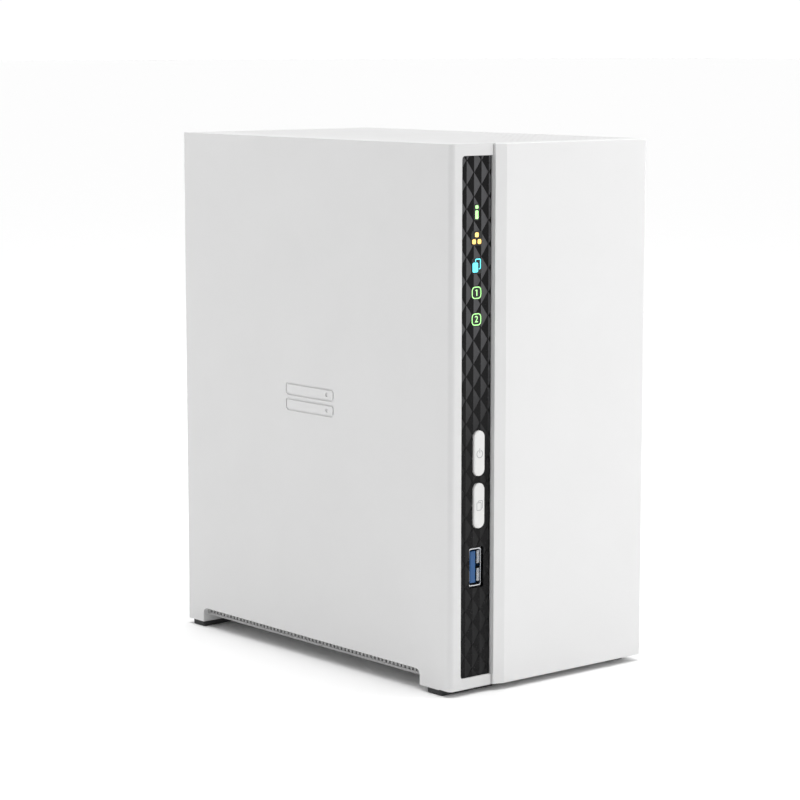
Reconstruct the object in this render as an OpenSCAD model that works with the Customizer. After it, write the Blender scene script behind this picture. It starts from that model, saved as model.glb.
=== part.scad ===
// Two-bay desktop network storage unit.
// Millimetres. Origin: centre of the underside. +Z up, the front faces -Y.
// The status strip is on the -X side of the front, the bay door on the +X side.

/* [Body] */
// Width, outside of left cover to outside of right cover
body_w = 90.2; // [90:0.1:91]
// Depth, front of the bay door to the rear edge of the covers
body_d = 156.3; // [156:0.1:157]
// Height, underside of the feet to the top grille
body_h = 188.6; // [188:0.1:190]
// Thickness of the moulded covers
wall = 2; // [1.8:0.1:2.2]
// Radius of the upright front corners
corner_r = 2; // [1:0.1:2]
// Radius of the upright rear corners
rear_r = 1.6; // [1:0.1:1.7]
// Height of the rubber feet
foot_h = 2.05; // [1.5:0.05:2.5]

/* [Side arch] */
// Height of the air intake arch in each side cover
arch_h = 5.5; // [5:0.1:6]
// Length of the front leg, frame plane to arch
front_leg = 16; // [15:0.5:18]
// Length of the rear leg, arch to rear edge
rear_leg = 10.5; // [10:0.5:13]
// Radius of the arch's upper corners
arch_r = 2; // [1:0.5:2.5]

/* [Vents] */
// Pitch of the holes in the top grille, four fine holes taken as one of the same open area
top_pitch = 6; // [6:0.5:9]
// Radius of the holes in the top grille
top_hole_r = 1.5; // [1.2:0.1:1.8]
// Pitch of the intake slots along each side of the base
slot_pitch = 2.1; // [2:0.1:3]
// Width of an intake slot
slot_w = 1.1; // [0.8:0.1:1.2]
// Pitch of the holes in the fan guard
guard_pitch = 5.2; // [5:0.1:6]
// Radius of the holes in the fan guard
guard_hole_r = 2.2; // [1.8:0.1:2.3]

/* [Front] */
// How far the bay door stands proud of the front frame
door_proud = 2; // [1.5:0.1:2.5]
// Width of the bay door
door_w = 71.1; // [71:0.1:71.2]
// Width of the bevel down the door's left edge
bevel_w = 4; // [3:0.1:5]
// Depth of that bevel
bevel_d = 1.2; // [1:0.1:1.4]
// Width of the frame's edge above and below the status strip
strip_margin = 4; // [3.5:0.1:4.2]
// Width of the frame's edge beside the status strip
strip_side = 5; // [4.8:0.1:5.2]
// How far the status strip lies behind the frame's face
strip_recess = 0.8; // [0.6:0.1:1]
// Width of a push button
button_w = 4.9; // [4.7:0.1:5.1]
// Height of a push button
button_h = 15.7; // [15:0.1:16]
// Height of the power button's centre
power_z = 83.6; // [83:0.1:84]
// Height of the copy button's centre
copy_z = 65.5; // [65:0.1:66]
// Height of the front USB socket's centre
usb_z = 44.1; // [43.5:0.1:44.5]
// Height of the lowest status light
light_z = 129.45; // [129:0.05:130]
// Pitch of the status lights
light_pitch = 9.05; // [9:0.05:9.2]

/* [Drives] */
// Length of a 3.5 inch drive
drive_l = 147; // [146.5:0.1:147]
// Width of a 3.5 inch drive
drive_w = 101.6; // [101:0.1:101.8]
// Thickness of a 3.5 inch drive
drive_t = 26.1; // [25:0.1:26.1]
// Width of a drive tray
tray_w = 33; // [32.6:0.1:33]
// Width of the slot that a tray slides in
bay_w = 34.2; // [34.2:0.1:34.2]

/* [Fan] */
// Side of the square fan frame
fan_size = 80; // [80:1:80]
// Thickness of the fan
fan_t = 20; // [20:1:20]
// Hole spacing of the fan
fan_holes = 71.5; // [71.5:0.5:71.5]
// Number of blades
fan_blades = 7; // [5:1:9]

/* [Hidden] */
$fn = 48;
tiny = 0.01;          // overlap that joins touching solids
cut = 1;              // how far a cutter runs past a face

x_out = body_w / 2;               // outside of a side cover
x_in = x_out - wall;              // inside of a side cover
y_door = -body_d / 2;             // front of the bay door
y_frame = y_door + door_proud;    // front of the frame
y_rear = body_d / 2;              // rear edge of the covers
z_sole = foot_h;                  // underside of the housing
z_lid = body_h - wall;            // underside of the top grille

// Front frame, in three layers from front to back
strip_x = [-x_out + strip_side, x_out - door_w - 0.4];
strip_z = [z_sole + strip_margin, body_h - strip_margin];
y_strip = y_frame + strip_recess;
strip_t = 1.6;
y_web = y_strip + strip_t;
web_t = 1.6;
y_bay = y_web + web_t;
bay_t = 2;
y_cage = y_bay + bay_t;
light_x = -32.8;
key_x = -31.75;
window_w = 3.6;
window_h = 5;
lights = [for (i = [0:4]) light_z + i * light_pitch];

// Bay door
door_x = x_out - door_w;
y_door_back = y_bay - 0.5;
door_skin = 2;
door_z = [z_sole + 0.25, body_h];
peg_r = 1.5;
pegs = [for (x = [door_x + 8, x_out - 8], z = [z_sole + 4, z_lid - 4]) [x, z]];

// Drive cage
sheet = 1.2;
bay_x = x_out - 3.1 - 2 * bay_w;
bay_z = [9.6, 178.6];
y_cage_end = 45;
rail_t = 0.7;

// Trays
tray_z = [bay_z[0] + 0.6, bay_z[1] - 0.6];
y_bezel = y_door_back + 1.3;
bezel_rim = 2.8;
bezel_t = 2;
ring_w = 30;
ring_t = 2;
ring_z = [12, 176];
y_drive = y_bezel + bezel_rim + bezel_t + 2.9;
drive_z = 25;
y_ring_end = y_drive + drive_w + 2.8;
tray_1_x = bay_x + 0.5 + tray_w / 2;
tray_2_x = bay_x + 2 * bay_w - 0.5 - tray_w / 2;
casting_t = drive_t - 2.2;
adapter_z = 18;
adapter_t = 1.8;

// Tray levers
lever_w = 12;
lever_l = 52;
lever_t = 2;
lever_bore = 0.85;
lever_pin_r = 0.8;
lever_y = y_bezel + 1.1;
lever_z = 98;

// Main board, upright between the cage and the left cover
board_t = 1.6;
board_x = -29.6;
board_y = [-62, 74];
board_z = [12, 96];
board_holes = [for (y = [-52, 38], z = [18, 66]) [y, z]];
usb_w = 5.7;
usb_h = 13.2;
usb_skin = 0.4;
usb_x = board_x - usb_w / 2;
usb_cut = [usb_w + 0.8, usb_h + 1];
rear_usb_z = [58, 76];
lan_x = [-40.9, board_x];
lan_z = [30, 46];
jack_x = -35.2;
jack_z = 20;
reset_x = -33.2;
reset_z = 90;
y_front_board = -66;

// Fan, behind the upper half of the bays
fan_z = 140;
y_panel = y_rear - 0.8 - wall;
y_fan = y_panel - fan_t;
fan_bore = 38.5;
hub_r = 17.5;
blade_r = 37;
shaft_r = 1.5;
fan_corners = [for (x = [-1, 1], z = [-1, 1]) [x * fan_holes / 2, fan_z + z * fan_holes / 2]];
case_holes = [[-39, 182], [39, 182], [39, 10]];

// ---------- helpers ----------

// Box between two corners, given as a low and a high value on each axis
module block(x, y, z) {
    translate([x[0], y[0], z[0]]) cube([x[1] - x[0], y[1] - y[0], z[1] - z[0]]);
}

// Upright section: a 2D shape in X and Z, extruded over a stretch of Y
module along_y(y) {
    translate([0, y[1], 0]) rotate([90, 0, 0]) linear_extrude(y[1] - y[0]) children();
}

// Side section: a 2D shape in Y and Z, extruded over a stretch of X
module along_x(x) {
    translate([x[0], 0, 0]) rotate([90, 0, 90]) linear_extrude(x[1] - x[0]) children();
}

// Rod along Y at a place in X and Z
module rod_y(p, y, r) {
    translate([p[0], y[0], p[1]]) rotate([-90, 0, 0]) cylinder(h = y[1] - y[0], r = r);
}

// Rod along X at a place in Y and Z
module rod_x(p, x, r) {
    translate([x[0], p[0], p[1]]) rotate([0, 90, 0]) cylinder(h = x[1] - x[0], r = r);
}

// Rectangle with a radius for each corner, anticlockwise from the low corner
module rounded(x, y, radii) {
    difference() {
        translate([x[0], y[0]]) square([x[1] - x[0], y[1] - y[0]]);
        for (i = [0:3]) {
            corner = [(i == 0 || i == 3) ? x[0] : x[1], i < 2 ? y[0] : y[1]];
            side = [(i == 0 || i == 3) ? 1 : -1, i < 2 ? 1 : -1];
            if (radii[i] > 0) translate(corner) scale(side) difference() {
                translate([-cut, -cut]) square(radii[i] + cut);
                translate([radii[i], radii[i]]) circle(radii[i]);
            }
        }
    }
}

// Upright pill outline round a centre
module pill(centre, w, h) {
    translate(centre) {
        square([w, h - w], center = true);
        for (s = [-1, 1]) translate([0, s * (h - w) / 2]) circle(w / 2);
    }
}

// Mirror image in the plane X = 0
module other_side() {
    mirror([1, 0, 0]) children();
}

// ---------- housing ----------

// Arch in a side cover, a section in Y and Z
module arch_outline() {
    rounded([y_frame + front_leg, y_rear - rear_leg], [z_sole - cut, z_sole + arch_h], [0, 0, arch_r, arch_r]);
}

// Plain left-hand cover, with its arch
module side_cover() {
    difference() {
        translate([0, 0, z_sole]) linear_extrude(z_lid - z_sole)
            rounded([-x_out, -x_in], [y_cage, y_rear], [0, 0, 0, rear_r]);
        along_x([-x_out - cut, -x_in + cut]) arch_outline();
    }
}

// Two stacked slabs, each with a dot: the sunk pictogram on the left cover, in Y and Z
module stack_mark() {
    for (z = [92.3, 97.9]) translate([1, z]) difference() {
        rounded([-14, 14], [-2.3, 2.3], [1.4, 1.4, 1.4, 1.4]);
        rounded([-13.3, 13.3], [-1.6, 1.6], [0.8, 0.8, 0.8, 0.8]);
    }
    for (z = [92.3, 97.9]) translate([-9, z]) circle(0.8);
}

module left_cover() {
    color("whitesmoke") difference() {
        side_cover();
        along_x([-x_out - cut, -x_out + 0.4]) stack_mark();
    }
}

module right_cover() {
    color("whitesmoke") other_side() side_cover();
}

module top_grille() {
    rows = floor((y_rear - y_bay - 6) / (top_pitch / 2));
    columns = floor((body_w - 6) / top_pitch / 2);
    color("whitesmoke") difference() {
        translate([0, 0, z_lid]) linear_extrude(wall) difference() {
            union() {
                rounded([-x_out, x_out], [y_bay, y_rear], [0, 0, rear_r, rear_r]);
                rounded([-x_out, strip_x[1]], [y_frame, y_bay + tiny], [corner_r, 0, 0, 0]);
            }
            for (j = [0:rows], i = [-columns:columns - (j % 2)])
                translate([(i + (j % 2) / 2) * top_pitch, y_rear - 3 - j * top_pitch / 2]) circle(top_hole_r);
        }
    }
}

// The frame's outer edge seen from above, with the rounded corner beside the strip
module frame_plan() {
    rounded([-x_out, x_out], [y_frame, y_cage], [corner_r, 0, 0, 0]);
}

module front_frame() {
    clear = 0.4;
    color("whitesmoke") intersection() {
        translate([0, 0, z_sole]) linear_extrude(z_lid - z_sole) frame_plan();
        difference() {
            union() {
                block([-x_out - cut, strip_x[1]], [y_frame, y_bay], [z_sole, z_lid]);
                block([-x_out - cut, x_out + cut], [y_bay, y_cage], [z_sole, z_lid]);
            }
            along_y([y_frame - cut, y_web])
                rounded([strip_x[0], strip_x[1] + cut], strip_z, [1.2, 0, 0, 1.2]);
            for (z = [power_z, copy_z]) along_y([y_web - cut, y_bay + cut])
                pill([key_x, z], button_w + 2 * clear, button_h + 2 * clear);
            for (z = lights) rod_y([light_x, z], [y_web - cut, y_bay + cut], 1.7);
            along_y([y_web - cut, y_cage + cut]) translate([usb_x, usb_z]) square(usb_cut, center = true);
            block([strip_x[0], bay_x - 1.5], [y_bay, y_cage + cut], [z_sole + 8, z_lid - 8]);
            block([bay_x, bay_x + 2 * bay_w], [y_bay - cut, y_cage + cut], bay_z);
            for (p = pegs) rod_y(p, [y_bay - cut, y_cage + cut], peg_r + clear);
        }
    }
}

module strip_panel() {
    clear = 0.4;
    color("#1c1c1e") difference() {
        along_y([y_strip, y_web]) rounded(strip_x, strip_z, [1.2, 0, 0, 1.2]);
        for (z = [power_z, copy_z]) along_y([y_strip - cut, y_web + cut])
            pill([key_x, z], button_w + 2 * clear, button_h + 2 * clear);
        for (z = lights)
            block([light_x - window_w / 2, light_x + window_w / 2], [y_strip - cut, y_web + cut],
                [z - window_h / 2, z + window_h / 2]);
        along_y([y_strip - cut, y_web + cut]) translate([usb_x, usb_z]) square(usb_cut, center = true);
    }
}

module status_windows() {
    color("#303034") for (z = lights)
        block([light_x - window_w / 2, light_x + window_w / 2], [y_strip, y_web],
            [z - window_h / 2, z + window_h / 2]);
}

// One clear moulding: five fingers on a spine
module light_guide() {
    color("aliceblue") {
        for (z = lights) rod_y([light_x, z], [y_web + 0.2, y_front_board - 1.3], 1.3);
        block([light_x - 3.2, light_x - 0.9], [y_bay + 0.6, y_bay + 2.6], [lights[0] - 2, lights[4] + 2]);
    }
}

// Slotted strip between a side cover and the raised floor, on the left
module intake_strip() {
    run = arch_h - 2;
    length = y_rear - rear_leg - y_frame - front_leg;
    slope = run * sqrt(2);
    count = floor((length - 4) / slot_pitch);
    difference() {
        translate([-x_in + run, y_frame + front_leg, z_sole + arch_h - run + 0.8]) rotate([0, 225, 0])
            translate([0, 0, -1.4]) linear_extrude(1.4) difference() {
                square([slope, length]);
                for (i = [0:count - 1])
                    translate([0.9, 2 + i * slot_pitch]) square([slope - 1.8, slot_w]);
            }
        block([-x_in - cut, 0], [y_cage, y_panel], [z_sole + arch_h + 0.8, z_sole + arch_h + 4]);
    }
}

module base_plate() {
    run = arch_h - 2;
    floor_z = [z_sole + arch_h - run + 0.8, z_sole + arch_h - run + 2.6];
    legs = [y_frame + front_leg, y_rear - rear_leg];
    skin = 1.8;
    color("whitesmoke") difference() {
        union() {
            block([-x_in, x_in], [y_cage, legs[0]], [z_sole, z_sole + skin]);
            block([-x_in, x_in], [legs[0] - skin, legs[0]], [z_sole, floor_z[1]]);
            block([-x_in + run - tiny, x_in - run + tiny], [legs[0] - skin, legs[1] + skin], floor_z);
            block([-x_in, x_in], [legs[1], legs[1] + skin], [z_sole, floor_z[1]]);
            block([-x_in, x_in], [legs[1], y_panel], [z_sole, z_sole + skin]);
            intake_strip();
            other_side() intake_strip();
        }
        for (x = [-24:6:36], y = [-44, 12])
            block([x - 1.2, x + 1.2], [y, y + 44], [floor_z[0] - cut, floor_z[1] + cut]);
    }
}

module front_foot_bar() {
    color("#2b2b2d") block([-x_out + 0.5, 29.5], [y_frame + 4.8, y_frame + 12.8], [0, foot_h]);
}

module rear_foot_bar() {
    color("#2b2b2d") block([-x_out + 0.5, 29.5], [y_rear - 10, y_rear - 2.9], [0, foot_h]);
}

module corner_foot_pads() {
    color("#2b2b2d") {
        block([33.3, x_out - 3.2], [y_frame + 4.05, y_frame + 12], [0, foot_h]);
        block([33.3, x_out - 3.2], [y_rear - 10, y_rear - 2.9], [0, foot_h]);
    }
}

module rear_panel() {
    reach = fan_bore - guard_hole_r - 1;
    color("whitesmoke") difference() {
        block([-x_in, x_in], [y_panel, y_panel + wall], [z_sole, z_lid]);
        along_y([y_panel - cut, y_panel + wall + cut]) {
            for (j = [-8:8], i = [-8:8]) {
                p = [(i + (j % 2) / 2) * guard_pitch, j * guard_pitch * sqrt(3) / 2];
                if (norm(p) < reach) translate([p[0], fan_z + p[1]]) circle(guard_hole_r);
            }
            for (p = fan_corners) translate(p) circle(2.2);
            for (p = case_holes) translate(p) circle(1.7);
            for (z = rear_usb_z) translate([usb_x, z]) square(usb_cut, center = true);
            translate([lan_x[0] - 0.3, lan_z[0] - 0.3])
                square([lan_x[1] - lan_x[0] + 0.6, lan_z[1] - lan_z[0] + 0.6]);
            translate([jack_x, jack_z]) circle(4.2);
            translate([reset_x, reset_z]) circle(1.7);
            translate([36, 28]) square([3, 7], center = true);
        }
    }
}

// ---------- inside ----------

module drive_cage() {
    x = [bay_x, bay_x + 2 * bay_w];
    middle = (x[0] + x[1]) / 2;
    color("lightgrey") difference() {
        along_y([y_cage, y_cage_end]) difference() {
            translate([x[0] - sheet, bay_z[0] - sheet])
                square([x[1] - x[0] + 1.8 * sheet, bay_z[1] - bay_z[0] + 2 * sheet]);
            translate([x[0], bay_z[0]]) square([x[1] - x[0], bay_z[1] - bay_z[0]]);
        }
        for (x = [middle - 17, middle + 17], y = [-60:24:40])
            block([x - 11, x + 11], [y, y + 14], [bay_z[0] - sheet - cut, bay_z[1] + sheet + cut]);
        for (y = [-56:24:30])
            block([x[0] - sheet - cut, x[0] + cut], [y, y + 12], [104, 170]);
        for (p = board_holes) rod_x(p, [x[0] - sheet - cut, x[0] + cut], 1.25);
    }
    color("lightgrey") for (z = [bay_z[0], bay_z[1] - 5])
        block([middle - rail_t / 2, middle + rail_t / 2], [y_cage, y_cage_end], [z - tiny, z + 5 + tiny]);
    color("lightgrey") for (p = board_holes) difference() {
        rod_x(p, [board_x + board_t, x[0] - sheet + tiny], 2.6);
        rod_x(p, [board_x, x[0]], 1.25);
    }
}

module front_board() {
    color("darkgreen") block([strip_x[0] + 0.6, bay_x - sheet - 0.6], [y_front_board, y_front_board + board_t],
        [copy_z - 10, lights[4] + 6]);
}

module status_leds() {
    color("ivory") for (z = lights)
        block([light_x - 1, light_x + 1], [y_front_board - 1.1, y_front_board], [z - 1.5, z + 1.5]);
}

module tact_switches() {
    color("dimgrey") {
        for (z = [power_z, copy_z]) {
            block([key_x - 3, key_x + 3], [y_front_board - 2, y_front_board], [z - 3, z + 3]);
            rod_y([key_x, z], [y_front_board - 2.4, y_front_board - 2 + tiny], 1.4);
        }
        block([reset_x - 3, board_x], [67, 71], [reset_z - 3, reset_z + 3]);
    }
}

module main_board() {
    color("darkgreen") difference() {
        block([board_x, board_x + board_t], board_y, board_z);
        for (p = board_holes) rod_x(p, [board_x - cut, board_x + board_t + cut], 1.5);
    }
}

// USB-A shell lying on the main board, its mouth at one end
module usb_shell(y, z, mouth) {
    x = [board_x - usb_w, board_x];
    inner_y = mouth < 0 ? [y[0] - cut, y[1] - 2] : [y[0] + 2, y[1] + cut];
    difference() {
        block(x, y, [z - usb_h / 2, z + usb_h / 2]);
        block([x[0] + usb_skin, x[1] - usb_skin], inner_y,
            [z - usb_h / 2 + usb_skin, z + usb_h / 2 - usb_skin]);
    }
}

// Contact tongue of a USB-A socket, near the shell's left side
module usb_tongue(y, z) {
    block([board_x - usb_w + 1.1, board_x - usb_w + 2.9], y, [z - 5.6, z + 5.6]);
}

module front_usb_shell() {
    color("silver") usb_shell([y_strip + 0.3, y_strip + 17.3], usb_z, -1);
}

module front_usb_tongue() {
    color("royalblue") usb_tongue([y_strip + 1.6, y_strip + 15.3], usb_z);
}

module rear_usb_shells() {
    color("silver") for (z = rear_usb_z) usb_shell([60.5, y_panel + wall + 0.2], z, 1);
}

module rear_usb_tongues() {
    color("black") for (z = rear_usb_z) usb_tongue([62.5, y_panel + wall - 1.2], z);
}

module soc_heatsink() {
    color("darkgrey") {
        block([board_x - 3, board_x], [-6, 24], [52, 82]);
        for (y = [-6:4.8:24]) block([board_x - 10, board_x - 3 + tiny], [y, y + 1.2], [52, 82]);
    }
}

module memory_chips() {
    color("#222222") {
        for (z = [54, 70]) block([board_x - 1.2, board_x], [-26, -14], [z, z + 9]);
        block([board_x - 1.4, board_x], [-22, -8], [26, 38]);
        block([board_x - 1.4, board_x], [36, 44], [34, 42]);
    }
}

module coin_cell() {
    color("silver") rod_x([10, 30], [board_x - 4.4, board_x - 1.2], 10);
    color("silver") block([board_x - 1.2, board_x], [2, 18], [22, 38]);
}

module capacitors() {
    color("slategrey") for (p = [[49, 20], [48, 28], [22, 89], [30, 89], [-50, 78], [-41, 84]])
        rod_x(p, [board_x - 7, board_x], 3);
}

module lan_port() {
    color("silver") difference() {
        block(lan_x, [56.5, y_panel + wall + 0.2], lan_z);
        block([lan_x[0] + 1.4, lan_x[1] - 2.4], [64.5, y_rear + cut], [lan_z[0] + 2.1, lan_z[1] - 2.1]);
        block([lan_x[1] - 2.6, lan_x[1] - 1.2], [64.5, y_rear + cut], [lan_z[0] + 5, lan_z[1] - 5]);
    }
}

module dc_jack() {
    color("#202022") {
        difference() {
            union() {
                block([jack_x - 4.5, board_x], [61, y_panel - 0.3], [jack_z - 5.5, jack_z + 5.5]);
                rod_y([jack_x, jack_z], [61, y_panel + wall - 0.2], 3.9);
            }
            rod_y([jack_x, jack_z], [67, y_rear + cut], 2.9);
        }
        rod_y([jack_x, jack_z], [66, y_panel + wall - 1.2], 1.2);
    }
}

module backplane() {
    color("darkgreen") block([bay_x - 0.6, bay_x + 2 * bay_w + 0.6], [y_cage_end, y_cage_end + board_t],
        [bay_z[0], 88]);
}

module backplane_sockets() {
    slot = adapter_t + 0.8;
    color("#1a1a1a") for (x = [tray_1_x, tray_2_x]) difference() {
        block([x - 14, x + 14], [y_cage_end - 3.8, y_cage_end], [adapter_z - 3, adapter_z + 3]);
        block([x - 12.5, x + 12.5], [y_cage_end - 3.8 - cut, y_cage_end - 0.8],
            [adapter_z - slot / 2, adapter_z + slot / 2]);
    }
}

module board_joiner() {
    color("#1a1a1a") block([board_x + board_t, -18], [y_cage_end + board_t, y_cage_end + 9], [30, 60]);
}

// ---------- fan ----------

module fan_frame() {
    y = [y_fan, y_panel];
    color("#242426") {
        difference() {
            along_y(y) difference() {
                rounded([-fan_size / 2, fan_size / 2], [fan_z - fan_size / 2, fan_z + fan_size / 2],
                    [4, 4, 4, 4]);
                translate([0, fan_z]) circle(fan_bore);
                for (p = fan_corners) translate(p) circle(2.15);
            }
        }
        along_y([y_panel - 3, y_panel]) difference() {
            union() {
                translate([0, fan_z]) circle(hub_r - 0.5);
                for (a = [45:90:315]) translate([0, fan_z]) rotate(a) translate([0, -1.5]) square([fan_bore + 1, 3]);
            }
            translate([0, fan_z]) circle(2.9);
        }
        difference() {
            rod_y([0, fan_z], [y_fan + 3, y_panel - 3 + tiny], 4.2);
            rod_y([0, fan_z], [y_fan + 2, y_panel], 2.9);
        }
    }
}

module fan_bearing() {
    color("goldenrod") difference() {
        rod_y([0, fan_z], [y_fan + 4.5, y_panel - 3.5], 2.9);
        rod_y([0, fan_z], [y_fan + 4, y_panel - 3], shaft_r + 0.05);
    }
}

module fan_stator() {
    color("darkorange") difference() {
        rod_y([0, fan_z], [y_fan + 5, y_fan + 14], 14);
        rod_y([0, fan_z], [y_fan + 4, y_fan + 15], 4.2);
        for (a = [0:90:270]) translate([0, 0, fan_z]) rotate([0, a, 0])
            block([6.5, 15], [y_fan + 4, y_fan + 15], [-2, 2]);
    }
}

module fan_rotor() {
    color("#2a2a2c") {
        difference() {
            rod_y([0, fan_z], [y_fan + 0.8, y_fan + 16], hub_r);
            rod_y([0, fan_z], [y_fan + 2.6, y_fan + 17], hub_r - 1.7);
        }
        rod_y([0, fan_z], [y_fan + 1.5, y_fan + 15.8], shaft_r);
        intersection() {
            difference() {
                rod_y([0, fan_z], [y_fan + 1.2, y_fan + 15.5], blade_r);
                rod_y([0, fan_z], [y_fan, y_fan + 17], hub_r - 0.5);
            }
            for (i = [0:fan_blades - 1]) translate([0, y_fan + 8.4, fan_z]) rotate([0, i * 360 / fan_blades, 0])
                rotate([38, 0, 0]) translate([hub_r - 1, -10.5, -0.8]) cube([blade_r, 21, 1.6]);
        }
    }
}

// Pan-head screw along Y, its head at the rear
module rear_screw(p, y_head, length, shank) {
    difference() {
        union() {
            rod_y(p, [y_head, y_head + 0.7], shank * 1.8);
            rod_y(p, [y_head - length, y_head + tiny], shank);
        }
        for (a = [0, 90]) translate([p[0], y_head + 0.7, p[1]]) rotate([0, a, 0])
            cube([shank * 2.2, 0.7, 0.5], center = true);
    }
}

module fan_screws() {
    color("silver") for (p = fan_corners) rear_screw(p, y_panel + wall, 10, 2);
}

module case_screws() {
    color("silver") for (p = case_holes) rear_screw(p, y_panel + wall, 6, 1.5);
}

module board_screws() {
    color("silver") for (p = board_holes) {
        rod_x(p, [board_x - 1.4, board_x], 2.4);
        rod_x(p, [board_x - tiny, bay_x - 0.3], 1.2);
    }
}

// Round lead: an eight-sided tube swept along a list of points
function turn_at(points, i) =
    let (a = points[max(i - 1, 0)], b = points[min(i + 1, len(points) - 1)]) (b - a) / norm(b - a);
function ring_at(points, i, r) =
    let (t = turn_at(points, i), u = cross(t, [1, 0, 0]), n = u / norm(u), m = cross(t, n))
    [for (k = [0:7]) points[i] + r * (cos(k * 45) * n + sin(k * 45) * m)];

module lead(points, r) {
    rings = [for (i = [0:len(points) - 1]) each ring_at(points, i, r)];
    last = len(rings) - 8;
    polyhedron(rings, concat(
        [[for (k = [0:7]) k]],
        [for (i = [0:len(points) - 2], k = [0:7])
            [i * 8 + k, i * 8 + 8 + k, i * 8 + 8 + (k + 1) % 8, i * 8 + (k + 1) % 8]],
        [[for (k = [7:-1:0]) last + k]]));
}

// The fan's lead, from the frame's lower corner down to its plug on the main board
module fan_lead() {
    route = [[-35, 55.3, 108], [-35, 53, 107.5], [-35, 51, 106], [-35, 50, 103], [-35, 50, 98],
        [-34.6, 50, 93], [-34, 50.5, 88], [-34, 52, 84], [-34, 54.5, 82]];
    color("#303030") {
        lead(route, 0.9);
        block([board_x - 6, board_x], [54.4, 59], [78, 86]);
    }
}

// Flat cable from the front board to the main board, a bent strip with a plug at its end
module front_ribbon() {
    y_start = y_front_board + board_t;
    color("lightgrey") along_x([board_x - 8, board_x - 2]) polygon([
        [y_start, 104], [-58, 104], [-50, 96], [-50, 90], [-50.6, 90], [-50.6, 95.8], [-58.2, 103.4],
        [y_start, 103.4]]);
    color("black") block([board_x - 9, board_x], [-53, -48], [84, 90]);
}

// ---------- door, trays and drives ----------

module bay_door() {
    color("white") {
        difference() {
            translate([0, 0, door_z[0]]) linear_extrude(door_z[1] - door_z[0]) difference() {
                rounded([door_x, x_out], [y_door, y_door_back], [0, 1.4, 0, 0]);
                polygon([[door_x - cut, y_door - cut], [door_x + bevel_w, y_door - cut],
                    [door_x + bevel_w, y_door], [door_x, y_door + bevel_d], [door_x - cut, y_door + bevel_d]]);
            }
            block([door_x + 1.6, x_out - 1.6], [y_door + bevel_d + door_skin - 0.8, y_door_back + cut],
                [door_z[0] + 1.6, door_z[1] - 1.6]);
        }
        for (p = pegs) {
            rod_y(p, [y_door_back - 3.5, y_cage + 0.6], peg_r);
        }
    }
}

// Ring frame that holds a drive on end, behind a bezel
module tray(x) {
    bezel_x = [x - tray_w / 2, x + tray_w / 2];
    y_plate = y_bezel + bezel_rim;
    ring_x = [x - ring_w / 2, x + ring_w / 2];
    lugs = [[x - lever_w / 2 - 2.4, x - lever_w / 2 - 0.4], [x + lever_w / 2 + 0.4, x + lever_w / 2 + 2.4]];
    color("#3a3a3d") {
        difference() {
            block(bezel_x, [y_bezel, y_plate + bezel_t], tray_z);
            block([bezel_x[0] + 1.5, bezel_x[1] - 1.5], [y_bezel - cut, y_plate],
                [tray_z[0] + 1.5, tray_z[1] - 1.5]);
            for (z = [20:7:83]) block([x - 11, x + 11], [y_plate - cut, y_plate + bezel_t + cut], [z, z + 3]);
        }
        along_x(ring_x) difference() {
            translate([y_plate + bezel_t - tiny, ring_z[0]])
                square([y_ring_end - y_plate - bezel_t + tiny, ring_z[1] - ring_z[0]]);
            translate([y_plate + bezel_t + ring_t, ring_z[0] + ring_t])
                square([y_ring_end - y_plate - bezel_t - 2 * ring_t, ring_z[1] - ring_z[0] - 2 * ring_t]);
            translate([y_ring_end - ring_t - cut, adapter_z - 2.5]) square([ring_t + 2 * cut, 5]);
        }
        for (s = lugs) difference() {
            block(s, [lever_y - 1.4, y_plate + tiny], [lever_z - 3, lever_z + 3]);
            rod_x([lever_y, lever_z], [s[0] - cut, s[1] + cut], lever_pin_r);
        }
    }
}

module tray_1() {
    tray(tray_1_x);
}

module tray_2() {
    tray(tray_2_x);
}

// Release lever: swings forward about the pin at its lower end
module tray_lever(x) {
    lever_x = [x - lever_w / 2, x + lever_w / 2];
    color("#c9cacc") difference() {
        union() {
            along_y([lever_y - lever_t / 2, lever_y + lever_t / 2]) rounded(lever_x,
                [lever_z, lever_z + lever_l], [0, 0, 3, 3]);
            rod_x([lever_y, lever_z], lever_x, 1.35);
        }
        rod_x([lever_y, lever_z], [lever_x[0] - cut, lever_x[1] + cut], lever_bore);
        along_y([lever_y - 2, lever_y + 2])
            rounded([x - 3.5, x + 3.5], [lever_z + lever_l - 14, lever_z + lever_l - 4], [1.5, 1.5, 1.5, 1.5]);
    }
}

module tray_lever_1() {
    tray_lever(tray_1_x);
}

module tray_lever_2() {
    tray_lever(tray_2_x);
}

module lever_pin(x) {
    color("silver") rod_x([lever_y, lever_z], [x - lever_w / 2 - 2.4, x + lever_w / 2 + 2.4], lever_pin_r);
}

module lever_pin_1() {
    lever_pin(tray_1_x);
}

module lever_pin_2() {
    lever_pin(tray_2_x);
}

// Cast body of a drive, with its lid side towards +X and its board side towards -X
module drive_casting(x) {
    color("darkgrey") difference() {
        block([x - casting_t / 2, x + casting_t / 2], [y_drive, y_drive + drive_w],
            [drive_z, drive_z + drive_l]);
        along_x([x - 3, x + casting_t / 2 + cut])
            rounded([y_drive + 4, y_drive + drive_w - 4], [drive_z + 15, drive_z + drive_l - 4], [8, 8, 12, 12]);
    }
}

module drive_casting_1() {
    drive_casting(tray_1_x);
}

module drive_casting_2() {
    drive_casting(tray_2_x);
}

module drive_lid(x) {
    color("gainsboro") along_x([x + casting_t / 2, x + drive_t / 2])
        rounded([y_drive + 1.5, y_drive + drive_w - 1.5], [drive_z + 12, drive_z + drive_l - 1.5], [8, 8, 12, 12]);
}

module drive_lid_1() {
    drive_lid(tray_1_x);
}

module drive_lid_2() {
    drive_lid(tray_2_x);
}

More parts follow.
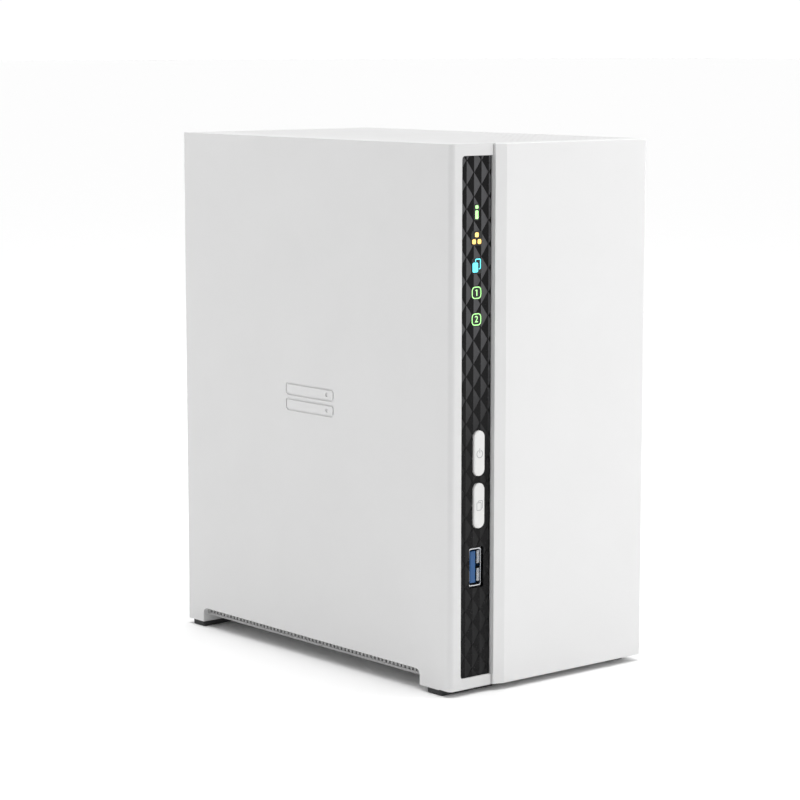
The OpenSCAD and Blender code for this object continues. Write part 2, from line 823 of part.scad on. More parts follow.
module drive_board(x) {
    color("darkgreen") block([x - drive_t / 2, x - casting_t / 2], [y_drive + 8, y_drive + drive_w - 8],
        [drive_z + 2, drive_z + 92]);
}

module drive_board_1() {
    drive_board(tray_1_x);
}

module drive_board_2() {
    drive_board(tray_2_x);
}

// Small board under a drive that turns its connector towards the backplane
module sata_adapter(x) {
    board = [adapter_z - adapter_t / 2, adapter_z + adapter_t / 2];
    color("darkgreen") block([x - 12, x + 12], [-16, y_cage_end - 1.2], board);
    color("#1a1a1a") block([x - 4, x + 4], [-12, 30], [board[1] - tiny, drive_z]);
    color("#1a1a1a") for (y = [-14, 26])
        block([x - 3, x + 3], [y, y + 4], [ring_z[0] + ring_t, board[0] + tiny]);
}

module sata_adapter_1() {
    sata_adapter(tray_1_x);
}

module sata_adapter_2() {
    sata_adapter(tray_2_x);
}

// Four countersunk screws that hold a drive in its ring, driven in from behind
module drive_screws(x) {
    color("silver") for (z = [drive_z + 28, drive_z + 70, drive_z + 112, drive_z + 136])
        rod_y([x, z], [y_drive + drive_w - 3, y_ring_end], 1.6);
}

module drive_screws_1() {
    drive_screws(tray_1_x);
}

module drive_screws_2() {
    drive_screws(tray_2_x);
}

// ---------- buttons ----------

module push_button(z) {
    color("white") {
        along_y([y_strip - 0.6, y_bay + 1.5]) pill([key_x, z], button_w, button_h);
        along_y([y_bay + 0.5, y_bay + 1.5]) pill([key_x, z], button_w + 2, button_h + 1.6);
        rod_y([key_x, z], [y_bay + 1.4, y_front_board - 3.6], 1.5);
    }
}

module power_button() {
    push_button(power_z);
}

module copy_button() {
    push_button(copy_z);
}

module reset_button() {
    color("dimgrey") rod_y([reset_x, reset_z], [71.9, y_panel + wall - 0.4], 1.3);
}

left_cover();
right_cover();
top_grille();
front_frame();
strip_panel();
status_windows();
light_guide();
base_plate();
front_foot_bar();
rear_foot_bar();
corner_foot_pads();
rear_panel();
drive_cage();
front_board();
status_leds();
tact_switches();
main_board();
front_usb_shell();
front_usb_tongue();
soc_heatsink();
memory_chips();
coin_cell();
capacitors();
lan_port();
rear_usb_shells();
rear_usb_tongues();
dc_jack();
backplane();
backplane_sockets();
board_joiner();
fan_frame();
fan_stator();
fan_bearing();
fan_screws();
case_screws();
board_screws();
fan_lead();
front_ribbon();
bay_door();
tray_1();
tray_2();
tray_lever_1();
tray_lever_2();
lever_pin_1();
lever_pin_2();
drive_casting_1();
drive_casting_2();
drive_lid_1();
drive_lid_2();
drive_board_1();
drive_board_2();
sata_adapter_1();
sata_adapter_2();
drive_screws_1();
drive_screws_2();
fan_rotor();
power_button();
copy_button();
reset_button();
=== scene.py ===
"""Looks of a two-bay desktop network storage unit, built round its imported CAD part.

Sizes in the text are millimetres, and MM turns them into metres. The front faces -Y and +Z is up.
"""

import math

import bmesh
import bpy
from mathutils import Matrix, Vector


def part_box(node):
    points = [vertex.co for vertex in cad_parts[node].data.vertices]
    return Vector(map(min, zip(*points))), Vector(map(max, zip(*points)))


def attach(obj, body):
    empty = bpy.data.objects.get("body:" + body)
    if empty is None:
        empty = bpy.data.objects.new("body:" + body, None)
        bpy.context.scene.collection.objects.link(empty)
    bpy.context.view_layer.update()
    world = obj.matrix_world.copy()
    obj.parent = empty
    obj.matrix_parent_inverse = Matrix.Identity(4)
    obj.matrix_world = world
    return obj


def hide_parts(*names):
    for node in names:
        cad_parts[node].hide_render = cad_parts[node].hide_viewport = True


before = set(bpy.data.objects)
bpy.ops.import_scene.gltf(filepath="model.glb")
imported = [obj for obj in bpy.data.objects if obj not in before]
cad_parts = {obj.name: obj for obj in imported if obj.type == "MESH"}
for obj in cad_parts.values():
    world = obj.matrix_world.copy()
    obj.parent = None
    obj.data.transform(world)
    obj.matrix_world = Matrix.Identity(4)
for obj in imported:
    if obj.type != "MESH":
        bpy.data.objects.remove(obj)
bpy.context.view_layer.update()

MM = 0.001


# ---------- places taken from the CAD model ----------

def edges_of(node):
    """Lowest and highest corner of a CAD node, in millimetres."""
    low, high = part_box(node)
    return Vector(low) / MM, Vector(high) / MM


cover_low, cover_high = edges_of("left_cover")
frame_low, frame_high = edges_of("front_frame")
strip_low, strip_high = edges_of("strip_panel")
door_low, door_high = edges_of("bay_door")
grille_low, grille_high = edges_of("top_grille")
window_low, window_high = edges_of("status_windows")
shell_low, shell_high = edges_of("front_usb_shell")
key_low, key_high = edges_of("power_button")
copy_low, copy_high = edges_of("copy_button")

WALL = 2.0                            # thickness of the moulded shell
ARCH = (-60.15, 67.65, 7.55)          # front, rear and top of the intake arch
MARK_Z = (92.3, 97.9)                 # heights of the two slabs of the sunk mark
Y_BAY = frame_low.y + 4.0             # front of the frame's back plate, behind the door
Y_DOOR_BACK = Y_BAY - 0.5             # rear edge of the door's shell
Y_STEM_END = -69.6                    # where the keys' stems stop, short of their switches
STRIP_RIGHT = door_low.x - 0.4        # right-hand edge of the status strip
BAY = (-26.4, 42.0, 9.6, 178.6)       # left, right, lower and upper edge of the drive opening
PEGS = [(x, z) for x in (door_low.x + 8, door_high.x - 8) for z in (6.05, 182.6)]
KEY_W, KEY_H = 4.9, 15.7              # size of a key's head
KEY_X = (key_low.x + key_high.x) / 2
POWER_Z = (key_low.z + key_high.z) / 2
COPY_Z = (copy_low.z + copy_high.z) / 2
KEY_GAP = 0.35                        # gap round a key in the strip
PANEL_X = (window_low.x + window_high.x) / 2
LIGHT_PITCH, WINDOW_H = 9.05, 5.0
LIGHTS = [window_low.z + WINDOW_H / 2 + LIGHT_PITCH * i for i in range(5)]


# ---------- modelling helpers ----------

def rest():
    """Object mode with nothing selected."""
    if bpy.context.object and bpy.context.object.mode != "OBJECT":
        bpy.ops.object.mode_set(mode="OBJECT")
    bpy.ops.object.select_all(action="DESELECT")


def settle(name):
    """Names the new object and moves its place, turn and size into its mesh."""
    piece = bpy.context.object
    piece.name = piece.data.name = name
    bpy.ops.object.transform_apply(location=True, rotation=True, scale=True)
    return piece


def block(name, low, high):
    """A box between two corners."""
    rest()
    middle = [(a + b) / 2 * MM for a, b in zip(low, high)]
    size = [(b - a) * MM for a, b in zip(low, high)]
    bpy.ops.mesh.primitive_cube_add(size=1, location=middle, scale=size)
    return settle(name)


def rod(name, start, length, radius, axis="Y", sides=40):
    """A round rod from its start along +X, +Y or +Z."""
    rest()
    way = {"X": Vector((1, 0, 0)), "Y": Vector((0, 1, 0)), "Z": Vector((0, 0, 1))}[axis]
    turn = {"X": (0, math.pi / 2, 0), "Y": (-math.pi / 2, 0, 0), "Z": (0, 0, 0)}[axis]
    middle = (Vector(start) + way * length / 2) * MM
    bpy.ops.mesh.primitive_cylinder_add(
        vertices=sides, radius=radius * MM, depth=length * MM, location=middle, rotation=turn)
    return settle(name)


def select(piece, kind, test):
    """Edit mode with the corners, edges or faces selected whose middle and extent, in mm, pass the test."""
    if bpy.context.view_layer.objects.active is not piece or piece.mode != "EDIT":
        rest()
        bpy.context.view_layer.objects.active = piece
        piece.select_set(True)
        bpy.ops.object.mode_set(mode="EDIT")
    bpy.ops.mesh.select_mode(type=kind)
    bpy.ops.mesh.select_all(action="DESELECT")
    mesh = bmesh.from_edit_mesh(piece.data)
    for item in {"VERT": mesh.verts, "EDGE": mesh.edges, "FACE": mesh.faces}[kind]:
        places = [item.co] if kind == "VERT" else [v.co for v in item.verts]
        low = Vector([min(p[i] for p in places) for i in range(3)]) / MM
        high = Vector([max(p[i] for p in places) for i in range(3)]) / MM
        if test((low + high) / 2, high - low):
            item.select_set(True)
    mesh.select_flush_mode()
    bmesh.update_edit_mesh(piece.data)
    return mesh


def round_edges(piece, radius, segments, test):
    """Rounds the edges that pass the test."""
    select(piece, "EDGE", test)
    bpy.ops.mesh.bevel(offset=radius * MM, segments=segments, affect="EDGES", clamp_overlap=True)
    rest()


def round_sharp(piece, radius, segments, test):
    """Rounds the hard edges among those that pass the test."""
    mesh = select(piece, "EDGE", test)
    for edge in mesh.edges:
        if edge.select and (len(edge.link_faces) < 2 or edge.calc_face_angle(0) < math.radians(35)):
            edge.select_set(False)
    bmesh.update_edit_mesh(piece.data)
    bpy.ops.mesh.bevel(offset=radius * MM, segments=segments, affect="EDGES", clamp_overlap=True)
    rest()


def finish_modifier(piece, modifier):
    """Applies one modifier."""
    rest()
    bpy.context.view_layer.objects.active = piece
    piece.select_set(True)
    bpy.ops.object.modifier_apply(modifier=modifier.name)


def combine(piece, other, operation="DIFFERENCE"):
    """Cuts one shape out of another, or adds it, and uses it up."""
    change = piece.modifiers.new("combine", "BOOLEAN")
    change.operation, change.object, change.solver = operation, other, "EXACT"
    finish_modifier(piece, change)
    bpy.data.objects.remove(other)
    return piece


def join(name, *parts):
    """Several shells as one piece."""
    rest()
    for part in parts:
        part.select_set(True)
    bpy.context.view_layer.objects.active = parts[0]
    if len(parts) > 1:
        bpy.ops.object.join()
    parts[0].name = parts[0].data.name = name
    return parts[0]


def copy_of(piece, name, shift=(0, 0, 0)):
    """A copy with its own mesh, moved by a shift."""
    rest()
    piece.select_set(True)
    bpy.context.view_layer.objects.active = piece
    bpy.ops.object.duplicate(linked=False)
    bpy.ops.transform.translate(value=[s * MM for s in shift])
    return settle(name)


def mirror_of(piece, name):
    """A copy for the other side, turned right side out again."""
    copy_of(piece, name)
    bpy.ops.transform.mirror(constraint_axis=(True, False, False), orient_type="GLOBAL",
                             center_override=(0, 0, 0))
    other = settle(name)
    select(other, "FACE", lambda m, s: True)
    bpy.ops.mesh.normals_make_consistent(inside=False)
    return other


def repeat(piece, count, step):
    """Repeats a piece in a row, welded where its copies meet."""
    row = piece.modifiers.new("row", "ARRAY")
    row.count, row.use_relative_offset, row.use_constant_offset = count, False, True
    row.constant_offset_displace = [s * MM for s in step]
    row.use_merge_vertices, row.merge_threshold = True, 0.00001
    finish_modifier(piece, row)


def smooth(piece, angle=30):
    """Smooth shading on rounded parts, with flat faces kept flat."""
    rest()
    bpy.context.view_layer.objects.active = piece
    piece.select_set(True)
    bpy.ops.object.shade_smooth_by_angle(angle=math.radians(angle))
    weights = piece.modifiers.new("weights", "WEIGHTED_NORMAL")
    weights.keep_sharp = True
    finish_modifier(piece, weights)


def softened(node, name, width, segments=2):
    """A copy of a CAD node, its triangles merged into whole faces and its hard edges rounded."""
    rest()
    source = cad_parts[node]
    mesh = source.data.copy()
    mesh.transform(source.matrix_world)
    piece = bpy.data.objects.new(name, mesh)
    mesh.name = name
    bpy.context.scene.collection.objects.link(piece)
    piece.select_set(True)
    bpy.context.view_layer.objects.active = piece
    bpy.ops.object.mode_set(mode="EDIT")
    bpy.ops.mesh.select_all(action="SELECT")
    bpy.ops.mesh.remove_doubles(threshold=0.000002)
    bpy.ops.mesh.dissolve_limited(angle_limit=math.radians(1))
    bpy.ops.object.mode_set(mode="OBJECT")
    bevel = piece.modifiers.new("bevel", "BEVEL")
    bevel.width, bevel.segments, bevel.limit_method = width * MM, segments, "ANGLE"
    bevel.angle_limit, bevel.use_clamp_overlap = math.radians(40), True
    finish_modifier(piece, bevel)
    smooth(piece)
    return piece


def ride(piece, body, material, slot, *nodes):
    """Gives a finished piece its material and its body, and hides the CAD nodes that it stands for; the slot is
    not used.
    """
    piece.data.materials.clear()
    piece.data.materials.append(material)
    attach(piece, body)
    if nodes:
        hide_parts(*nodes)
    return piece


# ---------- materials ----------

def srgb(code):
    """An sRGB hex colour as linear red, green, blue and alpha."""
    parts = [int(code[i:i + 2], 16) / 255 for i in (1, 3, 5)]
    return tuple(p / 12.92 if p <= 0.04045 else ((p + 0.055) / 1.055) ** 2.4 for p in parts) + (1.0,)


def add(tree, kind, inputs, **settings):
    """Adds a node with its own settings; an input is a value or the socket that feeds it."""
    node = tree.nodes.new(kind)
    for name, value in settings.items():
        setattr(node, name, value)
    for name, value in inputs.items():
        if isinstance(value, bpy.types.NodeSocket):
            tree.links.new(value, node.inputs[name])
        else:
            node.inputs[name].default_value = value
    return node


def surface(name, **sockets):
    """A material with its shader's plain values set, and Object coordinates to build on."""
    material = bpy.data.materials.new(name)
    material.use_nodes = True
    tree = material.node_tree
    shader = tree.nodes["Principled BSDF"]
    for socket, value in sockets.items():
        shader.inputs[socket.replace("_", " ")].default_value = value
    place = add(tree, "ShaderNodeTexCoord", {}).outputs["Object"]
    return material, tree, shader, place


def feed(tree, shader, **outputs):
    """Links node outputs to the shader's sockets."""
    for socket, output in outputs.items():
        tree.links.new(output, shader.inputs[socket.replace("_", " ")])


def grained(name, light, dark, low, high, grain, depth, **sockets):
    """Moulded or cast stuff: two close colours in soft patches, and a fine grain of a given size in mm."""
    material, tree, shader, place = surface(name, **sockets)
    patches = add(tree, "ShaderNodeTexNoise", {"Vector": place, "Scale": 45.0, "Detail": 3.0})
    colour = add(tree, "ShaderNodeMix", {"Factor": patches.outputs["Fac"], "A": srgb(light), "B": srgb(dark)},
                 data_type="RGBA")
    fine = add(tree, "ShaderNodeTexNoise",
               {"Vector": place, "Scale": 1000.0 / grain, "Detail": 2.0, "Roughness": 0.6})
    gloss = add(tree, "ShaderNodeMapRange", {"Value": fine.outputs["Fac"], "To Min": low, "To Max": high})
    bump = add(tree, "ShaderNodeBump", {"Height": fine.outputs["Fac"], "Strength": depth, "Distance": 0.0001})
    feed(tree, shader, Base_Color=colour.outputs[2], Roughness=gloss.outputs["Result"],
         Normal=bump.outputs["Normal"])
    return material


def brushed(name, light, dark, low, high, stretch, depth, **sockets):
    """Rolled, drawn or brushed metal: fine lines that run along one axis."""
    material, tree, shader, place = surface(name, Metallic=1.0, **sockets)
    lines = add(tree, "ShaderNodeMapping", {"Vector": place, "Scale": stretch})
    grain = add(tree, "ShaderNodeTexNoise",
                {"Vector": lines.outputs["Vector"], "Scale": 900.0, "Detail": 4.0})
    colour = add(tree, "ShaderNodeMix", {"Factor": grain.outputs["Fac"], "A": srgb(light), "B": srgb(dark)},
                 data_type="RGBA")
    gloss = add(tree, "ShaderNodeMapRange", {"Value": grain.outputs["Fac"], "To Min": low, "To Max": high})
    bump = add(tree, "ShaderNodeBump",
               {"Height": grain.outputs["Fac"], "Strength": depth, "Distance": 0.00005})
    feed(tree, shader, Base_Color=colour.outputs[2], Roughness=gloss.outputs["Result"],
         Normal=bump.outputs["Normal"])
    return material


def galvanised_steel():
    """Hot-dip galvanised sheet: flat spangles about 6 mm across, each a slightly different grey."""
    material, tree, shader, place = surface("galvanised_steel", Metallic=1.0)
    spangle = add(tree, "ShaderNodeTexVoronoi", {"Vector": place, "Scale": 160.0})
    tone = add(tree, "ShaderNodeSeparateColor", {"Color": spangle.outputs["Color"]})
    colour = add(tree, "ShaderNodeMix",
                 {"Factor": tone.outputs["Red"], "A": srgb("#a9adb1"), "B": srgb("#c6c9cc")},
                 data_type="RGBA")
    gloss = add(tree, "ShaderNodeMapRange", {"Value": tone.outputs["Green"], "To Min": 0.32, "To Max": 0.5})
    feed(tree, shader, Base_Color=colour.outputs[2], Roughness=gloss.outputs["Result"])
    return material


def solder_mask(name, mask, track, cell):
    """Glass-epoxy board: glossy solder mask over slightly raised copper tracks, with small tinned pads."""
    material, tree, shader, place = surface(name, Roughness=0.32, Coat_Weight=0.4, Coat_Roughness=0.15)
    nets = add(tree, "ShaderNodeTexVoronoi", {"Vector": place, "Scale": 1000.0 / cell},
               feature="F2", distance="MANHATTAN")
    lines = add(tree, "ShaderNodeMath", {0: nets.outputs["Distance"], 1: 9.0}, operation="MULTIPLY")
    wave = add(tree, "ShaderNodeMath", {0: lines.outputs[0], 1: 1.0}, operation="PINGPONG")
    tracks = add(tree, "ShaderNodeMath", {0: wave.outputs[0], 1: 0.72}, operation="GREATER_THAN")
    dots = add(tree, "ShaderNodeTexVoronoi", {"Vector": place, "Scale": 330.0}, distance="CHEBYCHEV")
    pads = add(tree, "ShaderNodeMath", {0: dots.outputs["Distance"], 1: 0.13}, operation="LESS_THAN")
    colour = add(tree, "ShaderNodeMix", {"Factor": tracks.outputs[0], "A": srgb(mask), "B": srgb(track)},
                 data_type="RGBA")
    tinned = add(tree, "ShaderNodeMix",
                 {"Factor": pads.outputs[0], "A": colour.outputs[2], "B": srgb("#c8c2a8")}, data_type="RGBA")
    bump = add(tree, "ShaderNodeBump", {"Height": tracks.outputs[0], "Strength": 0.4, "Distance": 0.00006})
    feed(tree, shader, Base_Color=tinned.outputs[2], Normal=bump.outputs["Normal"])
    return material


def black_with_painted_reflection(name, head, foot, fade_low, fade_high):
    """Satin black plastic with a painted grey reflection that fades out towards the foot, between two heights in
    mm.
    """
    material, tree, shader, place = surface(name, Specular_IOR_Level=0.18)
    height = add(tree, "ShaderNodeSeparateXYZ", {"Vector": place}).outputs["Z"]
    fade = add(tree, "ShaderNodeMapRange",
               {"Value": height, "From Min": fade_low * MM, "From Max": fade_high * MM})
    colour = add(tree, "ShaderNodeMix", {"Factor": fade.outputs["Result"], "A": srgb(foot), "B": srgb(head)},
                 data_type="RGBA")
    haze = add(tree, "ShaderNodeTexNoise", {"Vector": place, "Scale": 900.0, "Detail": 2.0})
    gloss = add(tree, "ShaderNodeMapRange", {"Value": haze.outputs["Fac"], "To Min": 0.36, "To Max": 0.44})
    feed(tree, shader, Base_Color=colour.outputs[2], Roughness=gloss.outputs["Result"])
    return material


def lit(name, core, edge, strength):
    """A light shining through a clear, faintly cloudy window: brighter in places, with a soft tint."""
    material, tree, shader, place = surface(name, Roughness=0.25, Emission_Strength=strength)
    cloud = add(tree, "ShaderNodeTexNoise", {"Vector": place, "Scale": 700.0, "Detail": 2.0})
    colour = add(tree, "ShaderNodeMix", {"Factor": cloud.outputs["Fac"], "A": srgb(core), "B": srgb(edge)},
                 data_type="RGBA")
    feed(tree, shader, Base_Color=colour.outputs[2], Emission_Color=colour.outputs[2])
    return material


# Moulded white ABS, spark-eroded to a fine matt grain of about 0.5 mm
shell_abs = grained("moulded_white_abs", "#d9d9d9", "#d5d5d5", 0.42, 0.52, 0.5, 0.10)
# The same ABS on the walls of the fine holes, rougher, and painted dark grey for the shade inside the holes
hole_shade_abs = grained("painted_hole_shade_abs", "#3c3c3c", "#343434", 0.6, 0.7, 0.4, 0.15)
# The same ABS on the slotted skirts, coarser, and painted a darker grey for the shade under the arches
skirt_shade_abs = grained("painted_shade_skirt_abs", "#a6a6a6", "#9e9e9e", 0.55, 0.65, 0.5, 0.2)
# The same ABS from a finer, smoother mould: a soft satin face
door_abs = grained("satin_white_abs", "#e1e1e1", "#dedede", 0.36, 0.44, 0.35, 0.06)
# White ABS keys, moulded with a polished face
key_abs = grained("polished_white_abs", "#e0e0df", "#dcdcdb", 0.22, 0.30, 0.6, 0.04)
# Grey marking ink, printed thin on the keys
key_ink = grained("grey_marking_ink", "#a9aaac", "#9fa0a2", 0.5, 0.6, 0.2, 0.05)
# Piano-black polycarbonate: deep and glossy, with the faint haze of handling
strip_pc = grained("gloss_black_polycarbonate", "#0d0d0e", "#0a0a0b", 0.24, 0.32, 1.2, 0.03,
                   Specular_IOR_Level=0.12)
# The other half of each diamond: the same plastic with a satin face and a painted grey reflection, fading towards
# the foot, for the light on the facets that face right
painted_reflection_pc = black_with_painted_reflection("satin_polycarbonate_painted_reflection", "#4a4a4c", "#0f0f10", 84.0, 130.0)
# Smoked lens plastic round each light
smoke_pc = grained("smoked_polycarbonate", "#0d120f", "#0a0d0b", 0.18, 0.26, 0.8, 0.02)
# Moulded synthetic rubber: dull, with a fine open texture
foot_rubber = grained("moulded_rubber", "#3b3b3c", "#323233", 0.75, 0.9, 0.4, 0.35)
# Glass-filled black plastic of sockets and plugs
socket_pbt = grained("glass_filled_pbt", "#1d1d1f", "#141416", 0.45, 0.6, 0.25, 0.2)
# Blue socket tongue, the same plastic dyed blue
tongue_pbt = grained("blue_pbt", "#11558f", "#0d4a80", 0.35, 0.45, 0.3, 0.12)
# Textured dark grey tray plastic
tray_abs = grained("textured_grey_abs", "#46474b", "#3c3d41", 0.5, 0.65, 0.6, 0.3)
# Light grey lever plastic with a smooth satin face
lever_abs = grained("smooth_grey_abs", "#c9cacc", "#bfc0c3", 0.34, 0.44, 0.5, 0.08)
# Grey reset pin
pin_abs = grained("grey_pin_abs", "#6d6f72", "#626467", 0.4, 0.5, 0.4, 0.1)
# Fan mouldings: semi-matt black glass-filled nylon
fan_nylon = grained("black_fan_nylon", "#27272a", "#1e1e20", 0.38, 0.52, 0.5, 0.18)
# Sand-blasted, machined die casting: dull silver with a coarse skin
casting_alloy = grained("blasted_die_casting", "#a3a6aa", "#8f9296", 0.42, 0.58, 0.45, 0.4, Metallic=1.0)
# Clear light-guide acrylic
guide_acrylic = grained("light_guide_acrylic", "#eef3f6", "#e6edf1", 0.08, 0.16, 1.0, 0.02,
                        Transmission_Weight=0.7, IOR=1.49)
# Soft PVC of the fan's lead
lead_pvc = grained("soft_black_pvc", "#202022", "#19191a", 0.5, 0.62, 0.4, 0.15)
# Nickel-plated, drawn connector shells
nickel_shell = brushed("nickel_plated_shell", "#d3d4d6", "#bcbec1", 0.2, 0.32, (0.1, 1.0, 1.0), 0.15)
# Zinc-plated screws
zinc_screw = brushed("zinc_plated_screw", "#c9ccd0", "#aeb2b7", 0.25, 0.4, (1.0, 1.0, 1.0), 0.2)
# Stamped, brushed stainless drive lid
brushed_lid = brushed("brushed_stainless_lid", "#c9cbcd", "#b2b5b8", 0.26, 0.4, (1.0, 1.0, 0.04), 0.2)
# Anodised, extruded aluminium heat sink
anodised_fins = brushed("anodised_aluminium", "#a9b0b5", "#969da3", 0.34, 0.48, (1.0, 1.0, 0.05), 0.2)
# Drawn aluminium capacitor cans
drawn_can = brushed("drawn_capacitor_can", "#b9bdc4", "#a3a7ae", 0.26, 0.36, (0.05, 1.0, 1.0), 0.15)
# Stamped steel coin cell
cell_steel = brushed("stamped_cell_steel", "#cccdcf", "#b6b8bb", 0.22, 0.34, (1.0, 1.0, 1.0), 0.15)
# Sintered bearing brass
bearing_brass = brushed("sintered_brass", "#c7a45c", "#a98744", 0.32, 0.46, (1.0, 1.0, 1.0), 0.25)
# Enamelled copper wire of the stator, wound round its core in 0.3 mm turns
winding_copper = brushed("enamelled_copper", "#c1713d", "#8e4a22", 0.25, 0.42, (1.0, 6.0, 1.0), 0.5)
# Galvanised sheet steel of the drive cage
galvanised = galvanised_steel()
# Green solder mask on glass epoxy, with tracks in cells of 7 mm
board_mask = solder_mask("green_solder_mask", "#0f4a2c", "#1b6a3f", 7.0)
# Grey vinyl of the flat cable
ribbon_vinyl = grained("ribbon_vinyl", "#b9bbbe", "#adafb2", 0.42, 0.5, 0.6, 0.1)
# Clear windows lit from behind by green, amber and cyan lamps, and the resin lens of the lamps themselves
green_light = lit("green_light", "#c9ffb0", "#8bf07a", 1.0)
amber_light = lit("amber_light", "#ffd98a", "#f7b648", 1.0)
cyan_light = lit("cyan_light", "#7df4ff", "#38dcf2", 1.0)
led_lens = lit("led_lens", "#f6f4e2", "#efeccf", 0.15)


# ---------- camera, floor and lights ----------

def aim(thing, target):
    """Turns a camera or light towards a point."""
    thing.rotation_euler = (Vector(target) * MM - thing.location).to_track_quat("-Z", "Y").to_euler()


def set_camera():
    """Front-left, a little above the middle, on a long lens."""
    azimuth, elevation, distance = math.radians(-39.95), math.radians(7.89), 947.0
    target = Vector((-3.53, 0.0, 91.37))
    way = Vector((math.sin(azimuth) * math.cos(elevation), -math.cos(azimuth) * math.cos(elevation),
                  math.sin(elevation)))
    rest()
    bpy.ops.object.camera_add(location=(target + way * distance) * MM)
    camera = bpy.context.object
    camera.name = "studio_camera"
    camera.data.lens, camera.data.sensor_width = 115.4, 36.0
    camera.data.clip_start, camera.data.clip_end = 0.01, 100.0
    camera.data.dof.use_dof = False
    aim(camera, target)
    bpy.context.scene.camera = camera


def softbox(name, azimuth, elevation, distance, width, height, watts):
    """A soft area light round the unit; azimuth 0 is in front, 90 at its right."""
    a, e = math.radians(azimuth), math.radians(elevation)
    place = Vector((math.sin(a) * math.cos(e), -math.cos(a) * math.cos(e), math.sin(e))) * distance
    rest()
    bpy.ops.object.light_add(type="AREA", location=(place + Vector((0, 0, 95))) * MM)
    lamp = bpy.context.object
    lamp.name = name
    lamp.data.shape, lamp.data.size, lamp.data.size_y = "RECTANGLE", width * MM, height * MM
    lamp.data.energy = watts
    lamp.visible_camera = False
    aim(lamp, (0, 0, 95))
    return lamp


def set_studio():
    """Pale floor, a bright low horizon, an overhead light and two side boxes."""
    rest()
    bpy.ops.mesh.primitive_plane_add(size=60)
    floor = settle("studio_floor")
    floor.data.materials.append(grained("studio_floor", "#fcfcfc", "#fafafa", 0.7, 0.8, 8.0, 0.0,
                                        Specular_IOR_Level=0.0))

    world = bpy.data.worlds.new("studio")
    bpy.context.scene.world = world
    world.use_nodes = True
    tree = world.node_tree
    way = add(tree, "ShaderNodeTexCoord", {}).outputs["Generated"]
    height = add(tree, "ShaderNodeSeparateXYZ", {"Vector": way}).outputs["Z"]
    fall = add(tree, "ShaderNodeMapRange",
               {"Value": height, "From Min": 0.10, "From Max": 0.35, "To Min": 1.02, "To Max": 0.26})
    tree.links.new(fall.outputs["Result"], tree.nodes["Background"].inputs["Strength"])
    tree.nodes["Background"].inputs["Color"].default_value = (1, 1, 1, 1)

    rest()
    bpy.ops.object.light_add(type="SUN", location=(0, 0, 3))
    overhead = bpy.context.object
    overhead.name = "overhead"
    overhead.data.energy, overhead.data.angle = 2.25, math.radians(50)
    softbox("right_box", azimuth=60, elevation=34, distance=950, width=700, height=800, watts=5.0)
    softbox("left_box", azimuth=-148, elevation=40, distance=1000, width=700, height=700, watts=2.5)
    bpy.context.scene.view_settings.view_transform = "Standard"


# ---------- housing ----------

def arch_cutter(name):
    """The intake arch as a solid, its two upper corners rounded."""
    cutter = block(name, (-50, ARCH[0], -1), (-40, ARCH[1], ARCH[2]))
    round_edges(cutter, 2.0, 8, lambda m, s: m.z > ARCH[2] - 0.1 and s.x > 5 and s.y < 1)
    return cutter


def plain_cover(name):
    """Left-hand side cover: one flat wall with the arch, its rear upright corner and lower edges rounded."""
    low, high = cover_low, cover_high
    cover = block(name, low, high)
    round_edges(cover, 1.6, 8, lambda m, s: s.z > 100 and m.x < low.x + 0.1 and m.y > high.y - 0.1)
    combine(cover, arch_cutter("arch"))
    round_sharp(cover, 0.35, 3, lambda m, s: m.x < low.x + 0.1 and m.z < ARCH[2] + 0.1)
    return cover


def stack_mark():
    """Cutter for the sunk pictogram: two stacked slab outlines, each with a dot."""
    parts = []
    for i, z in enumerate(MARK_Z):
        plate = block("slab_%d" % i, (-46.5, -13, z - 2.3), (-44.7, 15, z + 2.3))
        round_edges(plate, 1.4, 6, lambda m, s: s.x > 1 and s.y < 0.1 and s.z < 0.1)
        hole = block("hole_%d" % i, (-47.5, -12.3, z - 1.6), (-43.7, 14.3, z + 1.6))
        round_edges(hole, 0.8, 5, lambda m, s: s.x > 1 and s.y < 0.1 and s.z < 0.1)
        parts.append(combine(plate, hole))
        parts.append(rod("dot_%d" % i, (-46.5, -9, z), 1.8, 0.8, "X", 24))
    return join("stack_mark", *parts)


def make_covers():
    """Both side covers: modelled once, mirrored for the right, and marked on the left."""
    left = plain_cover("left_side_cover")
    right = mirror_of(left, "right_side_cover")
    combine(left, stack_mark())
    round_sharp(left, 0.12, 2, lambda m, s: m.x < cover_low.x + 0.02 and -14 < m.y < 16
                and MARK_Z[0] - 4 < m.z < MARK_Z[1] + 3)
    for piece, node in ((left, "left_cover"), (right, "right_cover")):
        smooth(piece)
        ride(piece, "housing", shell_abs, "white_shell", node)


def make_skirts():
    """Slotted skirts behind the arches: upright bars between a lower rim and a hidden upper one."""
    x = (cover_high.x + 0.05, cover_high.x + 0.85)
    y = (ARCH[0] + 0.1, ARCH[1] - 0.1)
    bar_width, pitch, count = 1.0, 2.1, 61
    bars = block("bars", (x[0], y[0], 5.6), (x[1], y[0] + bar_width, 7.9))
    repeat(bars, count, (0, pitch, 0))
    lower = block("lower_rim", (x[0], y[0], 4.75), (x[1], y[1], 5.7))
    round_edges(lower, 0.2, 2, lambda m, s: s.y > 100 and m.z < 5)
    left = join("left_skirt", lower, bars, block("upper_rim", (x[0], y[0], 7.8), (x[1], y[1], 8.3)))
    for piece in (left, mirror_of(left, "right_skirt")):
        smooth(piece)
        # The skirts get the darker grey of painted shade under the arches.
        ride(piece, "housing", skirt_shade_abs, "white_shell")


